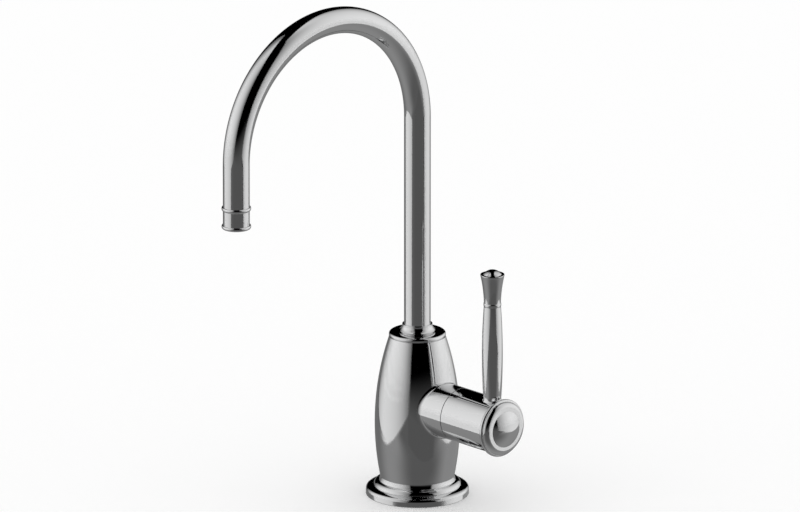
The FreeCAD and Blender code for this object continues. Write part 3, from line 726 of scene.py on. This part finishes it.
@dataclass
class Assembly:
    """Pieces of the tap on one CAD body: new ones, and CAD nodes that stay as they are."""

    body: Body
    kept: tuple[Kept, ...] = ()
    made: list[Object] = field(default_factory=list, init=False)

    def build(self) -> None:
        """Models the new pieces."""

    def add(self, bm: BMesh, name: str, *nodes: str, slot: Slot = Slot.CHROME) -> None:
        """Takes up a new piece.

        Args:
            bm: its mesh, in metres and in place.
            name: its name.
            nodes: the CAD nodes it stands for.
            slot: the slot of its finish.
        """
        piece = shown(bm, name)
        piece.data.shade_smooth()
        piece.data.set_sharp_from_angle(angle=SHARP_ANGLE)
        even = piece.modifiers.new("even normals", "WEIGHTED_NORMAL")
        even.keep_sharp = True
        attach(piece, self.body.value)
        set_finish(piece, slot.value)
        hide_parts(*nodes)
        self.made.append(piece)

    def dress(self, finishes: FinishSet) -> None:
        """Gives every piece its finish.

        Args:
            finishes: the tap's finishes.
        """
        for piece in self.made:
            piece.data.materials.append(finishes.of(Slot(piece["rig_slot"])))
        for group in self.kept:
            for name in group.nodes:
                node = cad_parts[name]
                node.data.materials.clear()
                node.data.materials.append(finishes.of(group.slot, group.axis))
                log.info("%s: kept from the CAD model, %s", name, group.slot.value)


@dataclass
class Foot(Assembly):
    """Stepped flange on the deck, with its rubber ring."""

    body: Body = Body.FIXED
    kept: tuple[Kept, ...] = (Kept(Slot.RUBBER, Axis.BARREL, ("base_gasket",)),)
    radius: float = 24.5
    edge: float = 0.25
    wall: float = 2.3
    shoulder: tuple[Point, Point] = ((24.36, 3.05), (23.85, 3.72))
    ledge: tuple[Point, Point] = ((22.6, 4.28), (20.85, 4.6))
    step: tuple[Point, Point] = ((20.03, 6.3), FOOT_TOP)
    bore: float = FOOT_BORE
    groove_radii: Pair = (17.47, 22.03)
    groove_depth: float = 1.53

    def build(self) -> None:
        """Models the flange."""
        inner, outer = self.groove_radii
        flange = Outline(self.bore, 0).line(inner, 0).line(inner, self.groove_depth)
        flange.line(outer, self.groove_depth).line(outer, 0)
        flange.line(self.radius, 0, self.edge).line(self.radius, self.wall)
        flange.arc(*self.shoulder).arc(*self.ledge)
        flange.arc(*self.step).line(self.bore, self.step[1][1]).close()
        self.add(flange.spin(Axis.BARREL, WIDE_STEPS), "foot_flange", "base_flange")


@dataclass
class Barrel(Assembly):
    """Bellied barrel with its two threaded sockets, and the ring that keeps the spout in."""

    body: Body = Body.FIXED
    kept: tuple[Kept, ...] = (Kept(Slot.ACETAL, Axis.BARREL, ("swivel_bush",)),)
    radius: float = 20.3
    belly: float = 35.5
    side_radius: float = 137.0
    waist: float = 9.2
    top: float = 78.3
    skirt: Point = FOOT_TOP
    cove: Point = (17.95, 8.1)
    spigot: float = FOOT_BORE - PLAY
    underside: float = 0.5
    threads: tuple[Thread, ...] = (
        Thread(offset=-6.5, major=5.0, minor=4.46, pitch=1.0, depth=13.5),
        Thread(offset=6.5, major=4.0, minor=3.32, pitch=1.25, depth=18.0),
    )
    ring_bore: float = 8.08
    ring_screw: Point = (11.2, 69.2)
    ring_gap_depth: float = 0.45
    ring_gap_height: float = 0.35
    ring_overhang: float = 0.1
    ring_edges: Pair = (0.3, 1.1)
    ring_top: float = 80.5

    def side(self, height: float) -> float:
        """The barrel's radius at a height."""
        return self.radius - self.side_radius + math.sqrt(self.side_radius**2 - (height - self.belly) ** 2)

    def build(self) -> None:
        """Models the barrel and the ring."""
        barrel = Outline(self.spigot, self.underside).line(self.spigot, self.skirt[1]).line(*self.skirt)
        barrel.arc(self.cove, (self.side(self.waist), self.waist), steps=12)
        barrel.arc((self.radius, self.belly), (self.side(self.top), self.top), steps=72)
        barrel.line(0, self.top)
        self.add(self.with_sockets(barrel.turn(WIDE_STEPS)), "barrel", "barrel_body")
        self.add(self.ring(), "gland_ring", "spout_gland_ring")

    def ring(self) -> BMesh:
        """Draws the ring, with a fine shadow gap over the barrel's rim.

        Returns:
            The mesh.
        """
        rim = self.side(self.top)
        gap, outer = rim - self.ring_gap_depth, rim + self.ring_overhang
        underside = self.top + self.ring_gap_height
        screw, foot = self.ring_screw
        ring = Outline(self.ring_bore, foot).line(screw, foot).line(screw, self.top)
        ring.line(gap, self.top).line(gap, underside)
        ring.line(outer, underside, self.ring_edges[0]).line(outer, self.ring_top, self.ring_edges[1])
        ring.line(self.ring_bore, self.ring_top).close()
        return ring.spin(Axis.BARREL)

    def with_sockets(self, bm: BMesh) -> BMesh:
        """Closes the barrel's underside round its threaded sockets.

        Args:
            bm: the barrel's mesh, open below, in millimetres.

        Returns:
            The closed mesh, in metres and in place.
        """
        for thread in self.threads:
            thread.cut(bm, self.underside)
        rims = [edge for edge in bm.edges if edge.is_boundary]
        bmesh.ops.triangle_fill(bm, edges=rims, use_beauty=True, normal=(0, 0, -1))
        bmesh.ops.recalc_face_normals(bm, faces=bm.faces[:])
        return placed(bm, Axis.BARREL)


@dataclass
class Spout(Assembly):
    """Swan-neck tube with its collar and mouthpiece.

    The collar's heights are measured from its foot.
    """

    body: Body = Body.SPOUT
    kept: tuple[Kept, ...] = (
        Kept(Slot.BRASS, Axis.BARREL, ("spout_insert",)),
        Kept(Slot.RUBBER, Axis.BARREL, ("spout_o_ring_upper", "spout_o_ring_lower", "outlet_washer")),
        Kept(Slot.ACETAL, Axis.OUTLET, ("flow_straightener",)),
    )
    radius: float = 6.35
    wall: float = 1.0
    seat: float = 62.0
    spring: float = 187.1
    outlet: float = 156.1
    tube_steps: int = 96
    arch_steps: int = 144
    collar_foot: float = 80.85
    collar_sleeve: float = 7.95
    collar_sleeve_depth: float = 0.45
    collar_skirt: Point = (8.5, 0.7)
    collar_flare: tuple[Point, Point] = ((7.6, 1.75), (7.2, 3.3))
    collar_height: float = 3.65
    collar_edges: Pair = (0.5, 0.12)
    tip_length: float = 10.8
    tip_bore: float = 5.2
    tip_bore_depth: float = 6.5
    throat: float = 4.4
    spigot_length: float = 4.0
    spigot_edge: float = 0.3
    bead_radius: float = 7.0
    bead_height: float = 1.9
    bead_flat: float = 0.05
    bead_crown: float = 0.7

    def build(self) -> None:
        """Models the tube, the collar and the mouthpiece."""
        self.add(self.tube(), "swan_neck", "spout_tube")
        self.add(self.collar(), "collar", "spout_collar")
        self.add(self.mouthpiece(), "mouthpiece", "spout_tip")

    def tube(self) -> BMesh:
        """Draws the tube from its seat, round the arch and down to the mouthpiece.

        Returns:
            The mesh.
        """
        bm = bmesh.new()
        seat = Matrix.Translation((0, 0, self.seat))
        bmesh.ops.create_circle(bm, radius=self.radius, segments=self.tube_steps, matrix=seat)
        riser = bmesh.ops.extrude_edge_only(bm, edges=bm.edges[:])["geom"]
        rim = verts_in(riser)
        bmesh.ops.translate(bm, verts=rim, vec=(0, 0, self.spring - self.seat))
        arch = bmesh.ops.spin(
            bm,
            geom=rim + [edge for edge in edges_in(riser) if edge.is_boundary],
            cent=(0, -REACH / 2, self.spring),
            axis=(1, 0, 0),
            angle=math.pi,
            steps=self.arch_steps,
        )["geom_last"]
        leg = bmesh.ops.extrude_edge_only(bm, edges=edges_in(arch))["geom"]
        drop = self.outlet + self.tip_length - self.spring
        bmesh.ops.translate(bm, verts=verts_in(leg), vec=(0, 0, drop))
        bmesh.ops.remove_doubles(bm, verts=bm.verts[:], dist=MERGE)
        bmesh.ops.recalc_face_normals(bm, faces=bm.faces[:])
        bmesh.ops.solidify(bm, geom=bm.faces[:], thickness=self.wall)
        bmesh.ops.transform(bm, matrix=Matrix.Scale(MM, 4), verts=bm.verts[:])
        return bm

    def collar(self) -> BMesh:
        """Draws the flared collar, with a short sleeve below its foot.

        Returns:
            The mesh.
        """
        bore, foot = self.radius + PLAY, self.collar_foot
        top, end = foot + self.collar_height, foot - self.collar_sleeve_depth
        skirt, skirt_top = self.collar_skirt
        waist, neck = ((radius, foot + height) for radius, height in self.collar_flare)
        collar = Outline(bore, end).line(self.collar_sleeve, end).line(self.collar_sleeve, foot)
        collar.line(skirt, foot, self.collar_edges[0]).line(skirt, foot + skirt_top)
        collar.arc(waist, neck).line(neck[0], top, self.collar_edges[1]).line(bore, top).close()
        return collar.spin(Axis.BARREL)

    def mouthpiece(self) -> BMesh:
        """Draws the mouthpiece with its two beads.

        Returns:
            The mesh.
        """
        foot, top = self.outlet, self.outlet + self.tip_length
        spigot, spigot_top = self.radius - self.wall - PLAY, top + self.spigot_length
        bead, crown = self.bead_radius, self.bead_crown
        under = self.bead_height / 2 - self.bead_flat
        tip = Outline(self.tip_bore, foot).line(bead, foot, under)
        tip.line(bead, foot + self.bead_height, crown).line(self.radius, foot + self.bead_height)
        tip.line(self.radius, top - self.bead_height).line(bead, top - self.bead_height, under)
        tip.line(bead, top, crown).line(spigot, top).line(spigot, spigot_top, self.spigot_edge)
        tip.line(self.throat, spigot_top).line(self.throat, foot + self.tip_bore_depth)
        tip.line(self.tip_bore, foot + self.tip_bore_depth).close()
        return tip.spin(Axis.OUTLET, SLIM_STEPS)


@dataclass
class ValveArm(Assembly):
    """Fixed stub of the arm with the valve cartridge in it. Its heights run out along the arm."""

    body: Body = Body.FIXED
    kept: tuple[Kept, ...] = (
        Kept(Slot.BRASS, Axis.ARM, ("cartridge_body",)),
        Kept(Slot.RUBBER, Axis.ARM, ("housing_seal", "cartridge_seat_seal")),
        Kept(Slot.CERAMIC, Axis.ARM, ("fixed_ceramic_disc",)),
        Kept(Slot.ACETAL, Axis.ARM, ("hub_glide_ring",)),
    )
    radius: float = ARM_RADIUS
    bore: float = 8.33
    screw: float = 10.95
    screw_ends: Pair = (9.6, 15.03)
    screw_edge: float = 0.3
    fillet: float = 1.1
    seam: float = 29.5
    seam_edge: float = 0.04
    seat: float = 11.93
    seat_depth: float = 0.7
    chamber: Point = (10.6, 19.0)
    barrel: Barrel = field(default_factory=Barrel)

    def build(self) -> None:
        """Models the stub."""
        root = Blend(self.radius, self.fillet)
        start, end = self.screw_ends
        chamber, floor = self.chamber
        ledge = self.seam - self.seat_depth
        stub = Outline(self.bore, start).line(self.screw, start, self.screw_edge).line(self.screw, end)
        root.draw(stub).line(self.radius, self.seam, self.seam_edge)
        stub.line(self.seat, self.seam).line(self.seat, ledge).line(chamber, ledge)
        stub.line(chamber, floor).line(self.bore, floor).close()
        laid = root.lay(stub.turn(WIDE_STEPS), self.barrel_face)
        self.add(placed(laid, Axis.ARM), "arm_stub", "valve_housing")

    def barrel_face(self, down: float, aside: float) -> float:
        """How far the barrel's face lies out along the arm, at a place below and beside the arm's axis."""
        return math.sqrt(self.barrel.side(ARM_HEIGHT - down) ** 2 - aside**2)


@dataclass
class Handle(Assembly):
    """Turning hub with its end cap, and the lever with its finial.

    The hub's and the cap's heights run out along the arm.
    The finial's bead and groove are measured from the lever's neck.
    """

    body: Body = Body.LEVER
    kept: tuple[Kept, ...] = (
        Kept(Slot.BRASS, Axis.ARM, ("valve_spindle",)),
        Kept(Slot.STEEL, Axis.ARM, ("hub_screw", "hub_screw_washer", "spindle_circlip")),
        Kept(Slot.CERAMIC, Axis.ARM, ("moving_ceramic_disc",)),
        Kept(Slot.RUBBER, Axis.ARM, ("spindle_o_ring_inner", "spindle_o_ring_outer")),
    )
    radius: float = ARM_RADIUS
    hub_ends: Pair = (29.8, 57.0)
    hub_edges: Pair = (0.12, 0.35)
    hub_recess: float = 7.6
    hub_web: Pair = (31.0, 39.0)
    spline: Point = (4.08, 36.4)
    screw_hole: float = 2.0
    cap_foot: float = 55.2
    cap_foot_edge: float = 0.3
    cap_groove: float = 12.3
    cap_groove_height: float = 0.3
    cap_bead: tuple[Point, Point, Point] = ((13.0, 57.45), (14.0, 58.4), (13.0, 59.27))
    cap_nose: tuple[Point, Point] = ((12.02, 60.92), (10.25, 61.5))
    button_stem: Point = (5.0, 56.2)
    button_stem_edge: float = 0.4
    button_radius: float = 8.75
    button_ends: Pair = (60.3, 61.5)
    button_apex: float = 63.85
    tenon: Point = (2.9, 54.12)
    tenon_drop: float = 1.5
    foot_radius: float = 4.3
    foot_rise: float = 1.0
    foot_fillet: float = 0.55
    swell: Point = (4.95, 82.0)
    neck: Point = (4.1, 104.5)
    peg: float = 2.2
    peg_length: float = 5.0
    peg_edge: float = 0.3
    finial_gap: float = 0.02
    finial_groove_depth: float = 0.2
    finial_bead_overhang: float = 0.15
    finial_bead_ends: Pair = (0.25, 1.95)
    finial_bead_edges: Pair = (0.45, 0.6)
    flare: Point = (4.55, 113.1)
    flare_inset: float = 0.05
    lip_radius: float = 5.72
    lip_ends: Pair = (119.7, 120.5)
    lip_chamfer: float = 0.15
    lip_edge: float = 0.12
    dome_radius: float = 4.35
    lever_top: float = 122.7

    def build(self) -> None:
        """Models the hub, the cap, the button, the lever and its finial."""
        self.add(self.hub(), "turning_hub", "lever_hub")
        self.add(self.cap(), "end_cap", "hub_cap")
        self.add(self.button(), "cap_dome", "cap_button")
        self.add(self.lever(), "lever", "lever_stem")
        self.add(self.finial(), "finial", "lever_finial")

    def hub(self) -> BMesh:
        """Draws the hub, with a web between its two recesses.

        Returns:
            The mesh.
        """
        start, end = self.hub_ends
        inner, outer = self.hub_web
        spline, spline_end = self.spline
        hub = Outline(spline, inner).line(self.hub_recess, inner).line(self.hub_recess, start)
        hub.line(self.radius, start, self.hub_edges[0]).line(self.radius, end, self.hub_edges[1])
        hub.line(self.hub_recess, end).line(self.hub_recess, outer).line(self.screw_hole, outer)
        hub.line(self.screw_hole, spline_end).line(spline, spline_end).close()
        return hub.spin(Axis.ARM)

    def cap(self) -> BMesh:
        """Draws the cap, with its spigot in the hub and its bull nose.

        Returns:
            The mesh.
        """
        end = self.hub_ends[1]
        bore, spigot = self.button_stem[0] + PLAY, self.hub_recess - PLAY
        rim = self.button_radius + PLAY
        seat, edge = self.button_ends
        cap = Outline(bore, self.cap_foot).line(spigot, self.cap_foot, self.cap_foot_edge).line(spigot, end)
        cap.line(self.cap_groove, end).line(self.cap_groove, end + self.cap_groove_height)
        cap.line(*self.cap_bead[0])
        cap.arc(*self.cap_bead[1:], steps=20).arc(*self.cap_nose, steps=40)
        cap.line(rim, edge).line(rim, seat).line(bore, seat).close()
        return cap.spin(Axis.ARM)

    def button(self) -> BMesh:
        """Draws the domed button with its stem.

        Returns:
            The mesh.
        """
        stem, foot = self.button_stem
        seat, edge = self.button_ends
        button = Outline(0, foot).line(stem, foot, self.button_stem_edge).line(stem, seat)
        button.line(self.button_radius, seat).line(self.button_radius, edge)
        crown = self.dome(self.button_radius, edge, self.button_apex)
        button.arc(crown, (0, self.button_apex), steps=32)
        return button.spin(Axis.ARM)

    def hub_face(self, along: float, aside: float) -> float:
        """Height of the hub's top at a place beside the arm's axis, the same all along the arm."""
        return ARM_HEIGHT + math.sqrt(self.radius**2 - aside**2)

    @staticmethod
    def dome(radius: float, edge: float, apex: float) -> Point:
        """A point half-way out on a dome.

        Args:
            radius: the dome's radius at its edge.
            edge: height of its edge.
            apex: height of its top.

        Returns:
            The point's radius and height.
        """
        ball = (radius**2 + (apex - edge) ** 2) / (2 * (apex - edge))
        return radius / 2, apex - ball + math.sqrt(ball**2 - radius**2 / 4)

    def lever(self) -> BMesh:
        """Draws the swelled rod, with its tenon in the hub and its peg in the finial.

        Returns:
            The mesh.
        """
        root = Blend(self.foot_radius, self.foot_fillet)
        hub_top = ARM_HEIGHT + self.radius
        tenon, tenon_foot = self.tenon
        peg_top = self.neck[1] + self.peg_length
        rod = Outline(0, tenon_foot).line(tenon, tenon_foot).line(tenon, hub_top - self.tenon_drop)
        root.draw(rod).line(self.foot_radius, hub_top + self.foot_rise)
        rod.arc(self.swell, self.neck, steps=64).line(self.peg, self.neck[1])
        rod.line(self.peg, peg_top, self.peg_edge).line(0, peg_top)
        return placed(root.lay(rod.turn(SLIM_STEPS), self.hub_face), Axis.LEVER)

    def finial(self) -> BMesh:
        """Draws the flared tip with its bead and dome, over a socket for the rod's peg.

        Returns:
            The mesh.
        """
        radius, height = self.neck
        foot = height + self.finial_gap
        socket, socket_top = self.peg + PLAY, height + self.peg_length + self.peg_edge
        groove, bead = radius - self.finial_groove_depth, radius + self.finial_bead_overhang
        bead_foot, bead_top = (height + end for end in self.finial_bead_ends)
        lip_foot, lip_top = self.lip_ends
        tip = Outline(socket, foot).line(groove, foot).line(groove, bead_foot)
        tip.line(bead, bead_foot, self.finial_bead_edges[0]).line(bead, bead_top, self.finial_bead_edges[1])
        tip.line(radius - self.flare_inset, bead_top)
        tip.arc(self.flare, (self.lip_radius - self.flare_inset, lip_foot), steps=24)
        tip.line(self.lip_radius, lip_foot + self.lip_chamfer)
        tip.line(self.lip_radius, lip_top, self.lip_edge).line(self.dome_radius, lip_top)
        crown = self.dome(self.dome_radius, lip_top, self.lever_top)
        tip.arc(crown, (0, self.lever_top), steps=24)
        tip.line(0, socket_top).line(socket, socket_top).close()
        return tip.spin(Axis.LEVER, SLIM_STEPS)


@dataclass(frozen=True)
class Card:
    """Flat card of the studio that only mirrors see, with soft edges.

    Its corner and sides are given across, towards the camera and up, in metres.
    """

    name: str
    corner: Triple
    side: Triple
    rise: Triple
    tone: float = 0.0
    cover: float = 1.0
    soft_side: Pair = (0.0, 0.0)
    soft_rise: Pair = (0.0, 0.0)
    cells: int = 48

    @staticmethod
    def ramp(share: float, soft: Pair) -> float:
        """How much the card covers at a share of its length.

        Args:
            share: place along the card, from 0 to 1.
            soft: the shares over which its two ends fade.

        Returns:
            The cover, from 0 to 1.
        """
        ends = (share / soft[0] if soft[0] else 1.0, (1 - share) / soft[1] if soft[1] else 1.0)
        near = max(0.0, min(1.0, *ends))
        return near * near * (3 - 2 * near)

    def build(self, azimuth: float) -> None:
        """Makes the card.

        Args:
            azimuth: the camera's azimuth in degrees.
        """
        turn = math.radians(azimuth)
        studio = Matrix(
            ((math.cos(turn), math.sin(turn), 0), (math.sin(turn), -math.cos(turn), 0), (0, 0, 1))
        )
        corner, side, rise = (studio @ Vector(v) for v in (self.corner, self.side, self.rise))
        bm = bmesh.new()
        cover = bm.verts.layers.float.new("cover")
        bmesh.ops.create_grid(bm, x_segments=self.cells, y_segments=self.cells, size=0.5)
        for vert in bm.verts:
            along, up = vert.co.x + 0.5, vert.co.y + 0.5
            vert[cover] = self.cover * self.ramp(along, self.soft_side) * self.ramp(up, self.soft_rise)
            vert.co = corner + side * along + rise * up
        made = shown(bm, self.name)
        for ray in ("camera", "diffuse", "transmission", "shadow", "volume_scatter"):
            setattr(made, f"visible_{ray}", False)
        made.data.materials.append(self.material())

    def material(self) -> Material:
        """The card's plain tone, clear where it doesn't cover.

        Returns:
            The material.
        """
        made, graph = new_material(self.name)
        cover = graph.node("Attribute", attribute_name="cover").outputs["Fac"]
        clear = graph.node("BsdfTransparent").outputs[0]
        # The tone glows though the card is no lamp. On the grey cards at the floor's level it is painted
        # shade of the floor that the chrome mirrors.
        tone = graph.node("Emission", {"Color": (self.tone, self.tone, self.tone, 1.0)}).outputs[0]
        mix = graph.node("MixShader", {0: cover, 1: clear, 2: tone}).outputs[0]
        graph.node("OutputMaterial", {"Surface": mix})
        return made


@dataclass
class Studio:
    """Camera, pale floor and white surround, with the dark cards that give chrome its lines and the grey
    cards that paint the floor's light and shade in its reflections.
    """

    azimuth: float = 46.88
    elevation: float = 17.17
    frame_width: float = 378.89
    aim: Triple = (-8.25, 112.54, 60.0)
    distance_m: float = 11.3
    clip_m: Pair = (0.1, 200.0)
    sensor: float = 36.0
    floor_half_m: float = 30.0
    floor_tone: Tone = (0.99, 0.99, 0.99, 1.0)
    cards: tuple[Card, ...] = (
        Card("roof", (-8, -60, 28), (16, 0, 0), (0, 120, 0), soft_side=(0.12, 0.12)),
        Card("front_wall", (-8, 17.1, -3), (16, -9.4, 0), (0, 0, 63), soft_side=(0.18, 0.06)),
        # The grey cards at the floor's level glow in tones that paint the floor's light and shade as the
        # chrome mirrors it: a painted mid-grey floor, and darker painted shade over it in front of and behind
        # the tap.
        Card(
            "front_low_shade", (-3.4, 6.7, -2.95), (8, -2.9, 0), (0, 0, 3.75),
            tone=0.105, soft_side=(0.1, 0.12), soft_rise=(0, 0.6),
        ),
        Card(
            "back_wall", (-8, -11.4, -2.2), (16, -7, 0), (0, 0, 60),
            soft_side=(0.02, 0.04), soft_rise=(0.02, 0),
        ),
        Card("back_low_shade", (-8, -11.3, -2.95), (16, -7, 0), (0, 0, 3), tone=0.17, soft_side=(0.02, 0.04)),
        Card(
            "back_floor_shade", (-9.2, -14, -2.84), (13.2, 0, 0), (1.3, 14, 0),
            tone=0.18, soft_side=(0.01, 0.4), soft_rise=(0, 0.4),
        ),
        # The sweep's grey glow is painted floor light and shade, seen only in the chrome's reflections.
        Card("sweep", (-7.6, -400, -2.9), (15.3, 0, 0), (0, 800, 0), tone=0.3, soft_side=(0.02, 0.02)),
        Card(
            "far_floor_shade", (-7.5, 3.6, -2.84), (17, -0.9, 0), (0, 21, 0),
            tone=0.12, soft_side=(0.06, 0.06), soft_rise=(0.15, 0),
        ),
        Card(
            "floor_shade", (-6.6, 0.4, -2.85), (15.8, -1.4, 0), (0, 22, 0),
            tone=0.115, soft_side=(0.37, 0.4), soft_rise=(0.18, 0),
        ),
        Card("left_front_scrim", (-7.9, 32, -3.2), (0, -34, 0), (0, 0, 40), cover=0.74, soft_side=(0, 0.59)),
        Card("left_back_scrim", (-7.8, -11.4, -3.2), (0, 9.9, 0), (0, 0, 40), cover=0.8, soft_side=(0, 1)),
        Card("left_top_scrim", (-7.7, -25, -1), (0, 60, 0), (0, 0, 35), cover=0.26, soft_rise=(0.37, 0)),
        Card("left_low_scrim", (-7.7, -25, -3.2), (0, 60, 0), (0, 0, 4.7), cover=0.13, soft_rise=(0, 0.6)),
        Card(
            "right_front_scrim", (7.9, 14, -3.2), (0, -15.5, 0), (0, 0, 40), cover=0.62, soft_side=(0, 0.68)
        ),
        Card("right_back_scrim", (7.8, -18.4, -3.2), (0, 15, 0), (0, 0, 40), cover=0.5, soft_side=(0, 1)),
        Card("right_top_scrim", (7.7, -25, -1), (0, 60, 0), (0, 0, 35), cover=0.28, soft_rise=(0.37, 0)),
        Card("right_low_scrim", (7.7, -25, -3.2), (0, 60, 0), (0, 0, 4.7), cover=0.13, soft_rise=(0, 0.6)),
    )

    def build(self) -> None:
        """Sets up the stage."""
        bpy.context.scene.view_settings.view_transform = "Standard"
        self.place_camera()
        self.light()
        self.lay_floor()
        for card in self.cards:
            card.build(self.azimuth)

    def place_camera(self) -> None:
        """Puts a long lens at the photograph's angle."""
        turn, lift = math.radians(self.azimuth), math.radians(self.elevation)
        back = Vector((math.sin(turn) * math.cos(lift), -math.cos(turn) * math.cos(lift), math.sin(lift)))
        right = Vector((math.cos(turn), math.sin(turn), 0))
        up = back.cross(right)
        target = (right * self.aim[0] + up * self.aim[1] + back * self.aim[2]) * MM
        lens = bpy.data.cameras.new("camera")
        lens.sensor_width = self.sensor
        lens.lens = self.sensor * self.distance_m / (self.frame_width * MM)
        lens.clip_start, lens.clip_end = self.clip_m
        camera = bpy.data.objects.new("camera", lens)
        bpy.context.scene.collection.objects.link(camera)
        camera.location = target + back * self.distance_m
        camera.rotation_mode = "QUATERNION"
        camera.rotation_quaternion = (-back).to_track_quat("-Z", "Y")
        bpy.context.scene.camera = camera

    def light(self) -> None:
        """Makes the white surround that lights everything evenly."""
        world = bpy.data.worlds.new("white_surround")
        world.use_nodes = True
        graph = Graph(world.node_tree)
        white = graph.node("Background", {"Color": (1.0, 1.0, 1.0, 1.0), "Strength": 1.0})
        graph.node("OutputWorld", {"Surface": white.outputs[0]})
        bpy.context.scene.world = world

    def lay_floor(self) -> None:
        """Lays the pale floor, which is clear from below."""
        bm = bmesh.new()
        bmesh.ops.create_grid(bm, x_segments=1, y_segments=1, size=self.floor_half_m)
        floor = shown(bm, "floor")
        floor.visible_glossy = False
        material, graph = new_material("pale_floor")
        paint = graph.node("BsdfDiffuse", {"Color": self.floor_tone}).outputs[0]
        clear = graph.node("BsdfTransparent").outputs[0]
        under = graph.node("NewGeometry").outputs["Backfacing"]
        mix = graph.node("MixShader", {0: under, 1: paint, 2: clear}).outputs[0]
        graph.node("OutputMaterial", {"Surface": mix})
        floor.data.materials.append(material)


def main() -> None:
    """Builds and dresses the tap, then the stage."""
    logging.basicConfig(level=logging.INFO, format="%(name)s %(message)s")
    finishes = FinishSet()
    for assembly in (Foot(), Barrel(), Spout(), ValveArm(), Handle()):
        assembly.build()
        assembly.dress(finishes)
    Studio().build()


if __name__ == "__main__":
    main()
